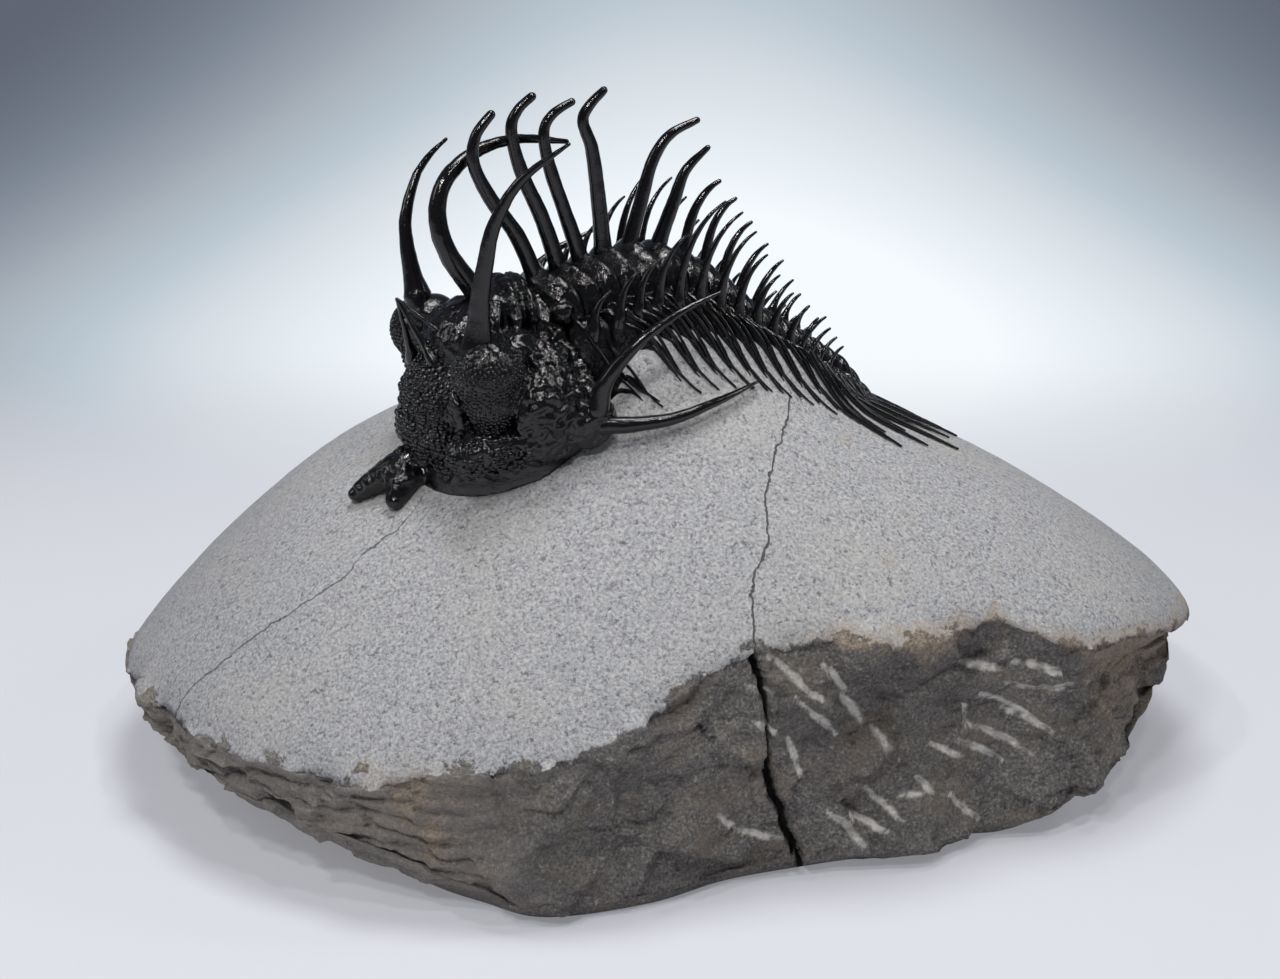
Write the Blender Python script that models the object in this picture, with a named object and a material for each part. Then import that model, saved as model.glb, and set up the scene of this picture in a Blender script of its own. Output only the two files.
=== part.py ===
"""A spiny trilobite, prepared standing free on the domed block of limestone that it was found in.

The fossil is built from the plates it had in life: the head shield, eleven thorax segments and the tail shield.
Every plate carries its own spines. Each plate rests on the stone and keeps a small gap to its neighbours.
Lengths below are in millimetres and are turned to metres as each mesh is made.
"""

import math

import bpy
import bmesh
import numpy as np
from mathutils import Vector, noise
from mathutils.geometry import interpolate_bezier

MM = 0.001
GAP = 0.35

# The block
STONE_LENGTH = 122.0
STONE_DEPTH = 87.0
DOME_CENTRE = (-3.5, -4.0)
DOME_HEIGHT = 45.0
DOME_FALL = {"left": 0.0100, "right": 0.0064, "front": 0.0165, "back": 0.0085}
MOUND_HEIGHT = 7.0
MOUND_LENGTH = 16.0
MOUND_WIDTH = 20.0
STEPS_PER_CORNER = 3
DOME_RINGS = (0.965, 0.9, 0.8, 0.68, 0.55, 0.42, 0.29, 0.15)
# Each corner of the outline: x, y, the height of its lower edge, and how far in the foot lies
CORNERS = (
    (-61, -5, 10, 0.70), (-54, -21, 9.5, 0.70), (-44, -33, 9, 0.74), (-30, -41, 7, 0.82),
    (-20, -42.5, 3.5, 0.90), (-12, -43.5, 1.6, 0.95), (-1, -41, 1.6, 0.94), (8, -36.5, 1.6, 0.92),
    (19, -33.5, 2, 0.90), (29, -30.5, 2, 0.90), (36, -26.5, 2, 0.90), (44, -25, 3, 0.88),
    (53, -18, 7, 0.80), (60, -8, 12, 0.72), (61.5, 4, 12, 0.68), (57, 20, 10, 0.70),
    (44, 34, 8, 0.74), (22, 42, 6, 0.80), (-5, 43.5, 5, 0.82), (-30, 40, 7, 0.78),
    (-50, 28, 9, 0.72), (-60, 11, 10, 0.70),
)

# The animal lies along a line turned from the block's long axis, head to the left and front
HEADING = math.radians(25.0)
ANIMAL_CENTRE = (0.0, -4.5)
SEGMENTS = 11
# Height of the back's midline above the table, at places along the animal from head to tail
BACK_LINE = (
    (-31, 43), (-29, 50.5), (-26.5, 52), (-22, 56), (-19.5, 58.4), (-16.5, 59.0), (-12, 59.8),
    (-6, 61.0), (-2, 61.2), (2, 60.2), (6, 57.9), (9, 55.4), (12, 52.8), (16, 50.2),
    (20, 47.4), (24, 44.4), (28, 41.4), (38, 36.0),
)
# The joints between the plates, head to tail, on the midline and at the plates' edge
AXIS_JOINTS = (-15.3, -12.7, -10.2, -7.7, -5.0, -1.7, 1.6, 4.4, 6.7, 8.8, 10.8, 12.8)
EDGE_FRONT = -9.6
EDGE_PITCH = 2.0
EDGE_REACH = 9.8
FLANK_DROP = 2.6
RING_RISE = 3.6
RING_HALF_WIDTH = ((-20, 5.3), (-10, 5.3), (2, 4.6), (12, 3.6), (20, 2.6), (26, 1.6))

# Midline spines, head to tail. Large ones: root and tip radius, then places along and above the animal
NECK_SPINE = (1.25, 0.32, (
    (-19.4, 0.0, 55.0), (-21.2, 0.0, 58.2), (-23.8, 0.0, 62.2), (-24.6, -0.5, 66.0), (-23.4, -1.2, 69.4),
    (-19.6, -2.4, 71.8), (-14.6, -3.0, 72.6), (-8.8, -3.0, 71.8),
))
BACK_SPINES = (
    (1.02, 0.75, ((-14.0, 58.0), (-16.0, 63.0), (-18.9, 67.3), (-20.7, 71.1), (-20.4, 74.0), (-18.4, 76.4))),
    (1.02, 0.72, ((-11.4, 58.9), (-13.2, 64.6), (-15.4, 69.6), (-16.5, 74.0), (-15.8, 76.2), (-13.8, 77.8))),
    (0.98, 0.65, ((-8.9, 59.8), (-10.7, 65.2), (-12.3, 70.0), (-12.9, 73.6), (-11.9, 75.5), (-9.4, 76.8))),
    (0.98, 0.60, ((-6.3, 60.4), (-6.8, 66.0), (-7.5, 71.4), (-8.5, 74.4), (-7.8, 76.0), (-5.8, 77.8))),
    (0.88, 0.50, ((-3.3, 60.6), (-1.8, 65.6), (-0.5, 69.6), (1.5, 72.2), (5.0, 73.6))),
    (0.80, 0.28, ((0.1, 60.2), (2.0, 65.0), (3.4, 68.2), (6.2, 70.6))),
    # Small ones: length, lean, turn, where the turn comes, root and tip radius
    (8.8, 10, 60, 1.8, 0.60, 0.34),
    (8.0, 8, 62, 1.8, 0.55, 0.26),
    (6.8, 12, 54, 1.6, 0.50, 0.24),
    (6.0, 18, 48, 1.5, 0.46, 0.22),
    (5.6, 22, 40, 1.4, 0.42, 0.20),
)
TAIL_SPINES = (4.4, 3.6, 3.0, 2.6, 2.2, 1.8)
TAIL_SPINE_PITCH = 1.55
FLANK_SPINES = (4.5, 5.5, 6.0, 8.5, 12.0, 11.0, 9.4, 7.6, 6.4, 5.6, 5.0)
FLANK_PLACE = 7.4
EDGE_SPINES = (3.0, 3.2, 3.4, 3.6, 3.8, 4.0, 4.4, 5.0, 5.8, 6.6, 7.2)
EDGE_SPINE_ANGLE = 36.0

# Places along, across and above the animal of the horns on the eyes, near side (1) and far side (-1)
HORN_PATHS = {
    1: ((-23.9, 8.2, 55.0), (-23.8, 8.8, 59.0), (-23.4, 9.6, 63.3), (-22.6, 10.4, 67.5), (-20.4, 12.0, 71.9), (-16.0, 14.0, 75.6)),
    -1: ((-24.3, 8.2, 55.8), (-24.8, 9.0, 59.6), (-24.7, 10.0, 63.5), (-23.2, 11.0, 67.4), (-21.4, 11.6, 69.6), (-19.0, 12.0, 71.4)),
}
# The long spine at each cheek corner: along, across, and height of its middle above the stone
CHEEK_SPINE = (
    (-12.4, 12.8, 3.2), (-9.0, 14.2, 2.6), (-5.2, 15.0, 2.1), (-1.4, 14.9, 1.9), (2.4, 14.0, 1.6), (5.8, 12.6, 1.2),
)
# The spine that rises from each cheek corner: along, across and above the animal
CORNER_SPINE = (
    (-12.8, 12.8, 48.0), (-12.0, 13.8, 51.0), (-9.2, 14.6, 54.4), (-5.6, 15.0, 56.8), (-2.6, 15.0, 58.1), (0.2, 15.0, 59.0),
)
FORK_TIPS = {"fork_far": (-33.4, -4.2), "fork_near": (-30.9, 1.6)}
HEAD_CENTRE = -13.0
HEAD_FRONT = 15.2
HEAD_SIDE = 12.4
TAIL_END = 25.0


def between(table, s):
    """The value at s, read smoothly from a short table of (place, value)."""
    places = [row[0] for row in table]
    values = [row[1] for row in table]
    return float(np.interp(s, places, values))


def smooth_table(table, steps=6):
    """The same short table with its corners rounded by a cubic through its points."""
    points = [Vector((a, b, 0)) for a, b in table]
    rounded = []
    for i in range(len(points) - 1):
        before = points[max(i - 1, 0)]
        after = points[min(i + 2, len(points) - 1)]
        handle_a = points[i] + (points[i + 1] - before) / 6
        handle_b = points[i + 1] - (after - points[i]) / 6
        rounded += interpolate_bezier(points[i], handle_a, handle_b, points[i + 1], steps)[:-1]
    rounded.append(points[-1])
    return tuple((p.x, p.y) for p in rounded)


BACK_CURVE = smooth_table(BACK_LINE)


def along_animal(x, y):
    """Place along and across the animal of a point on the block."""
    dx = x - ANIMAL_CENTRE[0]
    dy = y - ANIMAL_CENTRE[1]
    s = dx * math.cos(HEADING) + dy * math.sin(HEADING)
    t = dx * math.sin(HEADING) - dy * math.cos(HEADING)
    return s, t


def stone_top(x, y):
    """Height of the block's prepared upper surface: a dome with a low mound left under the animal."""
    dx = x - DOME_CENTRE[0]
    dy = y - DOME_CENTRE[1]
    fall_x = DOME_FALL["left"] if dx < 0 else DOME_FALL["right"]
    fall_y = DOME_FALL["front"] if dy < 0 else DOME_FALL["back"]
    s, t = along_animal(x, y)
    mound = MOUND_HEIGHT * math.exp(-((s / MOUND_LENGTH) ** 2) - (t / MOUND_WIDTH) ** 2)
    return DOME_HEIGHT - fall_x * dx * dx - fall_y * dy * dy + mound


def on_block(s, t, z):
    """A point given along, across and above the animal, in the block's own axes."""
    x = ANIMAL_CENTRE[0] + s * math.cos(HEADING) + t * math.sin(HEADING)
    y = ANIMAL_CENTRE[1] + s * math.sin(HEADING) - t * math.cos(HEADING)
    return Vector((x, y, z))


def ground(s, t):
    """Height of the stone under a place on the animal."""
    p = on_block(s, t, 0)
    return stone_top(p.x, p.y)


def ring_half_width(s):
    return between(RING_HALF_WIDTH, s)


def back_height(s, t, reach=EDGE_REACH):
    """Height of the thorax's upper surface: an arched ring in the middle and a falling flank each side."""
    middle = between(BACK_CURVE, s)
    half = ring_half_width(s)
    shoulder = middle - RING_RISE * half / 5.0
    across = abs(t)
    if across <= half:
        return shoulder + (middle - shoulder) * math.sqrt(1 - (across / half) ** 2)
    edge = ground(s, t) + 1.3
    share = min((across - half) / (reach - half), 1.0)
    return edge + (shoulder - 0.3 - edge) * (1 - share**FLANK_DROP)


def joint_line(j, t):
    """Place along the animal of the joint in front of segment j, which bends back towards the edge."""
    axis = AXIS_JOINTS[j]
    edge = EDGE_FRONT + EDGE_PITCH * j
    return axis + (edge - axis) * (abs(t) / EDGE_REACH) ** 1.4


def material(name, colour, roughness):
    made = bpy.data.materials.new(name)
    made.use_nodes = True
    shader = made.node_tree.nodes["Principled BSDF"]
    shader.inputs["Base Color"].default_value = (*colour, 1.0)
    shader.inputs["Roughness"].default_value = roughness
    return made


def facing_out(name, points, faces):
    """A mesh from points in millimetres and faces, with its normals facing out."""
    mesh = bpy.data.meshes.new(name)
    mesh.from_pydata([Vector(p) * MM for p in points], [], faces)
    shape = bmesh.new()
    shape.from_mesh(mesh)
    bmesh.ops.recalc_face_normals(shape, faces=shape.faces)
    shape.to_mesh(mesh)
    shape.free()
    return mesh


def add_object(name, points, faces, finish):
    mesh = facing_out(name, points, faces)
    mesh.materials.append(finish)
    made = bpy.data.objects.new(name, mesh)
    bpy.context.scene.collection.objects.link(made)
    return made


def smooth_shading(thing, degrees=40):
    thing.data.shade_smooth()
    thing.data.set_sharp_from_angle(angle=math.radians(degrees))


def stacked_rings(rings, cap_first=True, cap_last=True):
    """Points and faces of a skin over rings that all have the same number of points."""
    count = len(rings[0])
    points = [p for ring in rings for p in ring]
    faces = []
    for r in range(len(rings) - 1):
        for k in range(count):
            n = (k + 1) % count
            faces.append((r * count + k, r * count + n, (r + 1) * count + n, (r + 1) * count + k))
    if cap_first:
        faces.append(tuple(range(count)))
    if cap_last:
        first = (len(rings) - 1) * count
        faces.append(tuple(range(first, first + count)))
    return points, faces


def spine_path(root, length, lean, turn, late, spread=0.0, steps=6):
    """Points of a spine that leaves the back at a lean from upright and bends backwards.

    late says where the bend comes: 1 is an even arc, and more puts it near the tip. spread tips it sideways.
    """
    s, t, z = root
    points = [Vector(root)]
    side = math.sin(math.radians(spread))
    level = math.cos(math.radians(spread))
    for k in range(steps):
        angle = math.radians(lean + turn * ((k + 0.5) / steps) ** late)
        step = length / steps
        s += step * math.sin(angle) * level
        t += step * side
        z += step * math.cos(angle) * level
        points.append(Vector((s, t, z)))
    return points


def back_spine_path(number, s):
    """Points of a midline spine, and its root and tip radius. s is where its ring carries it."""
    spine = BACK_SPINES[number]
    if isinstance(spine[-1], tuple):
        base = spine[2][0]
        path = [Vector((base[0], 0.0, base[1] - 1.8))] + [Vector((a, 0.0, z)) for a, z in spine[2]]
        return path, spine[0], spine[1]
    length, lean, turn, late, root, tip = spine
    path = spine_path((s, 0.0, back_height(s, 0.0)), length, lean, turn, late, steps=5)
    return [Vector((s, 0.0, back_height(s, 0.0) - 1.4))] + path, root, tip


def add_spine(name, path, root_radius, tip_radius, tools, sides=6, flare=1.5, sink=1.6):
    """A tapered spine: rings of points around a path that is given in the animal's own axes.

    The root is carried sink millimetres back into the plate and is flared, so that it grows out of it.
    """
    back = (path[0] - path[1]).normalized() * sink
    route = [path[0] + back] + list(path)
    places = [on_block(*place) for place in route]
    lengths = [0.0]
    for a, b in zip(places, places[1:]):
        lengths.append(lengths[-1] + (b - a).length)
    side = (places[1] - places[0]).orthogonal().normalized()
    rings = []
    for i, (place, run) in enumerate(zip(places, lengths)):
        along = (places[min(i + 1, len(places) - 1)] - places[max(i - 1, 0)]).normalized()
        side = (side - along * side.dot(along)).normalized()
        other = along.cross(side)
        share = run / lengths[-1]
        radius = root_radius + (tip_radius - root_radius) * share**1.3
        radius *= 1 + (flare - 1) * math.exp(-max(run - sink, 0) / (1.2 * root_radius))
        ring = []
        for k in range(sides):
            turn = math.tau * k / sides
            ring.append(place + (side * math.cos(turn) + other * math.sin(turn)) * radius)
        rings.append(ring)
    points, faces = stacked_rings(rings)
    add_tool(name, points, faces, tools)


def add_lobe(name, centre, half_sizes, tools, fineness=2, tilt=0.0):
    """A rounded lobe: a ball stretched along the animal's own axes, tipped nose down by tilt degrees."""
    ball = bmesh.new()
    bmesh.ops.create_icosphere(ball, subdivisions=fineness, radius=1.0)
    lean = math.radians(tilt)
    points = []
    for vertex in ball.verts:
        s, t, z = (a * b for a, b in zip(vertex.co, half_sizes))
        forward = s * math.cos(lean) - z * math.sin(lean)
        upward = s * math.sin(lean) + z * math.cos(lean)
        points.append(on_block(centre[0] + forward, centre[1] + t, centre[2] + upward))
    faces = [[vertex.index for vertex in face.verts] for face in ball.faces]
    ball.free()
    add_tool(name, points, faces, tools)


def add_tool(name, points, faces, tools):
    """A helper shape that is joined into a plate and isn't drawn by itself. It is kept clear of the stone."""
    clear = [(p[0], p[1], max(p[2], stone_top(p[0], p[1]) + GAP)) for p in points]
    helper = bpy.data.objects.new(name, facing_out(name, clear, faces))
    helper.hide_render = True
    helper.display_type = "WIRE"
    tools.objects.link(helper)


def join_tools(plate, tools):
    """Fuses the helper shapes of a collection into a plate and keeps the outer skin of what comes of it."""
    join = plate.modifiers.new("Join", "BOOLEAN")
    join.operation = "UNION"
    join.operand_type = "COLLECTION"
    join.collection = tools
    join.solver = "EXACT"
    graph = bpy.context.evaluated_depsgraph_get()
    fused = bpy.data.meshes.new_from_object(plate.evaluated_get(graph))
    plate.modifiers.clear()
    plate.data = fused
    for helper in list(tools.objects):
        bpy.data.objects.remove(helper)
    keep_outer_skin(fused)


def keep_outer_skin(mesh):
    """Drops closed pockets left between fused shapes, which are skins of their own inside the plate."""
    shape = bmesh.new()
    shape.from_mesh(mesh)
    bmesh.ops.triangulate(shape, faces=shape.faces)
    left = set(shape.verts)
    skins = []
    while left:
        skin = {left.pop()}
        front = list(skin)
        while front:
            for edge in front.pop().link_edges:
                for vertex in edge.verts:
                    if vertex in left:
                        left.discard(vertex)
                        skin.add(vertex)
                        front.append(vertex)
        skins.append(skin)
    outer = max(skins, key=len)
    inner = [vertex for skin in skins if skin is not outer for vertex in skin]
    bmesh.ops.delete(shape, geom=inner, context="VERTS")
    shape.to_mesh(mesh)
    shape.free()


def tool_collection(name):
    made = bpy.data.collections.new(name)
    bpy.context.scene.collection.children.link(made)
    return made


def edge_spine_path(s, t, length, angle, side, steps=5, radius=0.34):
    """A spine that leaves the plate's edge and trails back along the stone."""
    lean = math.radians(angle)
    inside_s, inside_t = s - 0.3, t - 0.9
    points = [Vector((inside_s, side * inside_t, ground(inside_s, side * inside_t) + radius + GAP + 0.25))]
    for k in range(steps + 1):
        run = length * k / steps
        here_s = s + run * math.cos(lean)
        here_t = t + run * math.sin(lean)
        z = ground(here_s, side * here_t) + radius + GAP + 0.25
        points.append(Vector((here_s, side * here_t, z)))
    return points


def closed_outline(corners, steps):
    """Points of a smooth closed line through the corners, with the corners' other values carried along."""
    count = len(corners)
    rows = []
    for i in range(count):
        a, b, c, d = (np.array(corners[(i + k) % count], float) for k in (-1, 0, 1, 2))
        for k in range(steps):
            u = k / steps
            rows.append(
                0.5 * (2 * b + (c - a) * u + (2 * a - 5 * b + 4 * c - d) * u**2 + (3 * b - a - 3 * c + d) * u**3)
            )
    return np.array(rows)


def plate_skin(rings):
    """The skin over a plate's rings, each end closed by strips from its upper to its lower edge."""
    points, faces = stacked_rings(rings, cap_first=False, cap_last=False)
    count = len(rings[0])
    for first in (0, (len(rings) - 1) * count):
        for k in range(count // 2 - 1):
            faces.append((first + k, first + k + 1, first + count - 2 - k, first + count - 1 - k))
    return points, faces


def build_stone(finish):
    """The block: an undercut foot, a broken flank with a rough face, and the smooth prepared dome."""
    rows = closed_outline(CORNERS, STEPS_PER_CORNER)
    for axis, size in ((0, STONE_LENGTH), (1, STONE_DEPTH)):
        low, high = rows[:, axis].min(), rows[:, axis].max()
        rows[:, axis] = (rows[:, axis] - (low + high) / 2) * size / (high - low)
    tops = [stone_top(x, y) for x, y in rows[:, :2]]

    def ring(scales, heights, rough=0.0):
        made = []
        for (x, y, _, _), scale, height in zip(rows, scales, heights):
            shift = noise.noise(Vector((x * 0.14, y * 0.14, height * 0.2))) * rough
            grow = scale - shift * 0.01
            made.append((x * grow, y * grow, height))
        return made

    lower = rows[:, 2]
    feet = rows[:, 3]
    rings = [
        ring(feet * 0.5, [0.0] * len(rows)),
        ring(feet, [0.0] * len(rows)),
        ring(feet * 0.35 + 0.635, lower * 0.45, rough=1.6),
        ring([0.985] * len(rows), lower, rough=1.2),
        ring([0.99] * len(rows), [low + (top - low) * 0.5 for low, top in zip(lower, tops)], rough=2.0),
        ring([1.0] * len(rows), [top - 0.6 for top in tops]),
    ]
    for scale in DOME_RINGS:
        rings.append([(x * scale, y * scale, stone_top(x * scale, y * scale)) for x, y in rows[:, :2]])
    points, faces = stacked_rings(rings, cap_first=True, cap_last=False)
    peak = len(points)
    points.append((0.0, 0.0, stone_top(0.0, 0.0)))
    last = (len(rings) - 1) * len(rows)
    for k in range(len(rows)):
        faces.append((last + k, last + (k + 1) % len(rows), peak))
    stone = add_object("matrix", points, faces, finish)
    smooth_shading(stone)


def plate_rows(lines, across, top):
    """Rings of points around a plate, front to back: over its top from edge to edge, and back under it.

    lines are functions that give the place along the animal for a place across it.
    """
    rings = []
    for number, line in enumerate(lines):
        over = []
        under = []
        for t in across:
            s = line(t)
            over.append(on_block(s, t, max(top(number, s, t), ground(s, t) + 1.3)))
            under.append(on_block(s, t, ground(s, t) + GAP))
        rings.append(over + under[::-1])
    return rings


def build_segment(number, finish):
    """One thorax segment: a ring over the middle, a raised rib on each flank, and five spines."""
    name = f"thorax_segment_{number + 1:02d}"
    across = [EDGE_REACH * u for u in (-1, -0.82, -0.66, -0.53, -0.38, -0.2, 0, 0.2, 0.38, 0.53, 0.66, 0.82, 1)]
    half_gap = GAP / 2

    def line(share):
        def place(t):
            front = joint_line(number, t) + half_gap
            back = joint_line(number + 1, t) - half_gap
            return front + (back - front) * share

        return place

    lifts = (-0.9, 0.0, 0.35, -0.7)

    def top(row, s, t):
        return back_height(s, t) + lifts[row]

    points, faces = plate_skin(plate_rows([line(u) for u in (0, 0.3, 0.7, 1)], across, top))
    plate = add_object(name, points, faces, finish)

    tools = tool_collection(name + "_spines")
    path, root, tip = back_spine_path(number, line(0.6)(0.0))
    add_spine(name + "_back_spine", path, root, tip, tools, sides=7 if number < 6 else 5, flare=1.1, sink=0.2)
    for side in (-1, 1):
        t = side * FLANK_PLACE
        s = line(0.5)(t)
        path = spine_path((s, t, back_height(s, t)), FLANK_SPINES[number], 4, 56, 1.6, 6 * side, steps=4)
        add_spine(f"{name}_flank_{side}", path, 0.46, 0.15, tools, sides=5, flare=1.7)
        s = line(0.5)(EDGE_REACH)
        path = edge_spine_path(s, EDGE_REACH, EDGE_SPINES[number], EDGE_SPINE_ANGLE, side, steps=3)
        add_spine(f"{name}_edge_{side}", path, 0.38, 0.17, tools, sides=5, flare=1.0, sink=0.1)
    join_tools(plate, tools)
    smooth_shading(plate)


def head_outline(t):
    """Place along the animal of the head shield's front edge."""
    return HEAD_CENTRE - HEAD_FRONT * math.sqrt(max(1 - (t / (HEAD_SIDE + 0.05)) ** 2, 0.0))


def build_head(finish):
    """The head shield: a domed plate with the swollen middle lobe, tall eyes, cheeks, horns and spines."""
    across = [HEAD_SIDE * math.sin(math.radians(a)) for a in (-68, -56, -45, -35, -25, -14, 0, 14, 25, 35, 45, 56, 68)]

    def line(share):
        def place(t):
            front = head_outline(t)
            back = joint_line(0, min(abs(t), EDGE_REACH + 1.0)) - GAP / 2
            return front + (back - front) * share

        return place

    shares = (0.0, 0.1, 0.3, 0.55, 0.8, 1.0)

    def top(row, s, t):
        rim = ground(s, t) + 2.6
        rise = max(1 - (t / HEAD_SIDE) ** 2, 0.0) ** 0.8
        full = between(BACK_CURVE, max(s, -20.0)) - 1.0 - rim
        return rim + full * rise * shares[row] ** 0.75

    points, faces = plate_skin(plate_rows([line(u) for u in shares], across, top))
    head = add_object("head_shield", points, faces, finish)

    tools = tool_collection("head_shield_forms")
    add_lobe("middle_lobe", (-26.0, 0, 46.6), (4.7, 7.0, 5.9), tools, tilt=-18)
    add_lobe("upper_lobe", (-22.0, 0, 52.6), (4.4, 5.4, 4.6), tools, tilt=-30)
    add_lobe("neck_ring", (-18.9, 0, 54.4), (1.5, 5.5, 4.4), tools)
    root, tip, places = NECK_SPINE
    path = [Vector(place) for place in places]
    add_spine("neck_spine", path, root, tip, tools, sides=7, sink=2.0)
    path = spine_path((-25.4, -1.0, 51.4), 7.0, -30, -10, 1.0, -4, steps=4)
    add_spine("brow_spine", path, 0.9, 0.15, tools, flare=1.9)
    for side in (-1, 1):
        add_lobe(f"eye_{side}", (-22.6, 8.8 * side, 51.0), (3.9, 3.1, 4.9), tools)
        add_lobe(f"cheek_{side}", (-16.8, 9.8 * side, 48.2), (5.2, 3.0, 4.6), tools)
        add_lobe(f"corner_{side}", (-12.9, 12.4 * side, 46.0), (2.6, 1.9, 3.0), tools)
        path = [Vector((s, t * side, z)) for s, t, z in HORN_PATHS[side]]
        add_spine(f"horn_{side}", path, 1.3 if side > 0 else 1.15, 0.22, tools, sides=7, flare=1.25)
        path = [Vector((s, t * side, ground(s, t * side) + lift)) for s, t, lift in CHEEK_SPINE]
        add_spine(f"cheek_spine_{side}", path, 1.35, 0.25, tools, flare=1.0, sink=2.0)
        path = [Vector((s, t * side, z)) for s, t, z in CORNER_SPINE]
        add_spine(f"corner_spine_{side}", path, 1.15, 0.18, tools, flare=1.2)
    for name, (s, t) in FORK_TIPS.items():
        path = []
        for share in (0.0, 0.35, 0.7, 1.0):
            here_s = -28.0 + (s + 28.0) * share
            here_t = -0.8 + (t + 0.8) * share**1.3
            path.append(Vector((here_s, here_t, ground(here_s, here_t) + 1.7)))
        add_spine(name, path, 1.25, 0.9, tools, flare=1.0)
    join_tools(head, tools)
    smooth_shading(head)


def tail_edge(s):
    """Half width of the tail shield, which narrows to a rounded end."""
    front = joint_line(SEGMENTS, EDGE_REACH)
    share = min(max((s - front) / (TAIL_END - front), 0.0), 1.0)
    return 1.2 + (EDGE_REACH - 1.2) * (1 - share**1.6) ** 0.8


def build_tail(finish):
    """The tail shield: a narrowing plate with a row of small spines and long ones trailing on the stone."""
    across = [-1, -0.8, -0.6, -0.42, -0.28, -0.14, 0, 0.14, 0.28, 0.42, 0.6, 0.8, 1]
    shares = (0.0, 0.12, 0.24, 0.36, 0.5, 0.64, 0.78, 0.9, 1.0)
    rings = []
    for number, share in enumerate(shares):
        over = []
        under = []
        for u in across:
            t_front = u * EDGE_REACH
            front = joint_line(SEGMENTS, t_front) + GAP / 2
            s = front + (TAIL_END - front) * share
            t = u * tail_edge(s)
            lift = 0.35 if number % 2 else -0.35
            z = max(back_height(s, t, max(tail_edge(s), ring_half_width(s) + 1.0)) + lift, ground(s, t) + 1.0)
            over.append(on_block(s, t, z))
            under.append(on_block(s, t, ground(s, t) + GAP))
        rings.append(over + under[::-1])
    points, faces = plate_skin(rings)
    tail = add_object("tail_shield", points, faces, finish)

    tools = tool_collection("tail_shield_spines")
    first = AXIS_JOINTS[-1] + 1.2
    for k, length in enumerate(TAIL_SPINES):
        s = first + TAIL_SPINE_PITCH * k
        path = spine_path((s, 0.0, back_height(s, 0.0) - 0.1), length, 22, 40, 1.3, steps=3)
        add_spine(f"tail_back_spine_{k}", path, 0.42 - 0.03 * k, 0.15, tools, sides=5, sink=1.2)
        for side in (-1, 1):
            t = side * (5.4 - 0.5 * k)
            path = spine_path((s + 0.5, t, back_height(s + 0.5, t, tail_edge(s)) - 0.2), length + 0.6, 24, 40, 1.3, 4 * side, steps=3)
            add_spine(f"tail_flank_{k}_{side}", path, 0.40 - 0.03 * k, 0.14, tools, sides=5, sink=1.0)
    for k in range(5):
        share = k / 4
        s = 14.6 + 9.0 * share
        t = tail_edge(s) - 0.6
        length = (8.0, 9.5, 10.5, 11.0, 11.0)[k]
        angle = 32 * (1 - share) ** 0.8 + 4
        for side in (-1, 1):
            path = edge_spine_path(s, t, length, angle, side, steps=5, radius=0.4)
            add_spine(f"tail_edge_{k}_{side}", path, 0.52, 0.17, tools, sides=5, flare=1.0)
    join_tools(tail, tools)
    smooth_shading(tail)


def main():
    for thing in list(bpy.data.objects):
        bpy.data.objects.remove(thing)
    limestone = material("grey limestone", (0.42, 0.42, 0.41), 0.9)
    shell = material("black fossil shell", (0.018, 0.017, 0.019), 0.28)
    build_stone(limestone)
    build_head(shell)
    for number in range(SEGMENTS):
        build_segment(number, shell)
    build_tail(shell)


main()
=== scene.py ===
# %% [markdown]
# # A spiny trilobite standing on its block of limestone
#
# The real thing is one natural specimen: an animal turned to glossy black calcite, and the pale grey
# limestone that it was buried in. A preparator cut the stone away with an air-driven pen, so every spine
# stands free, and blasted the dome under it smooth. The sides of the block were left as they broke.
#
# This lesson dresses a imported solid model. The frame gives the places, and each cell swaps a plain solid
# for a detailed mesh made from the same sizes.

# %% Load the frame
import math
from itertools import product

import bpy
import bmesh
import numpy as np
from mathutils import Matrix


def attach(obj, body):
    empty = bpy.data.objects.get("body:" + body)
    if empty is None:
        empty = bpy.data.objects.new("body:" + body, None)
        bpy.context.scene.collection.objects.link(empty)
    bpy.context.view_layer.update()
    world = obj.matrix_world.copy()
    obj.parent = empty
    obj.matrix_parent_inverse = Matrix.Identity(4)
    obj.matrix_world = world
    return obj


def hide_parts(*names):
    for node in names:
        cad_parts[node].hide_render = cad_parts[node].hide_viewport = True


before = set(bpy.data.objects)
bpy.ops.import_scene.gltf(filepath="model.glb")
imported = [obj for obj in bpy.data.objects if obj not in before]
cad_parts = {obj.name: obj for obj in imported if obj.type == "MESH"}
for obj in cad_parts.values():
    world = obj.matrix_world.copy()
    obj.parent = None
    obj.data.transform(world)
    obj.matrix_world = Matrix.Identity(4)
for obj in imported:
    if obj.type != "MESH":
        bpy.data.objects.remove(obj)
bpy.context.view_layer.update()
print("nodes:", sorted(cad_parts))

# %% [markdown]
# ## Small helpers
#
# Sizes are thought of in millimetres and stored in metres, so one constant turns one into the other.
# Screen colours are written as web colours and made linear in one place. A single function adds a node to
# any tree, sets its plain inputs and links the others.

# %% Units, colours and nodes
MM = 0.001


def linear(web):
    """A web colour such as 'a9a9ab' as linear red, green, blue and alpha."""
    parts = [int(web[i : i + 2], 16) / 255 for i in (0, 2, 4)]
    return [c / 12.92 if c <= 0.04045 else ((c + 0.055) / 1.055) ** 2.4 for c in parts] + [1.0]


def find_socket(sockets, key):
    """A socket by its number, its identifier or its name."""
    if isinstance(key, int):
        return sockets[key]
    return next((socket for socket in sockets if socket.identifier == key), None) or sockets[key]


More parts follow.
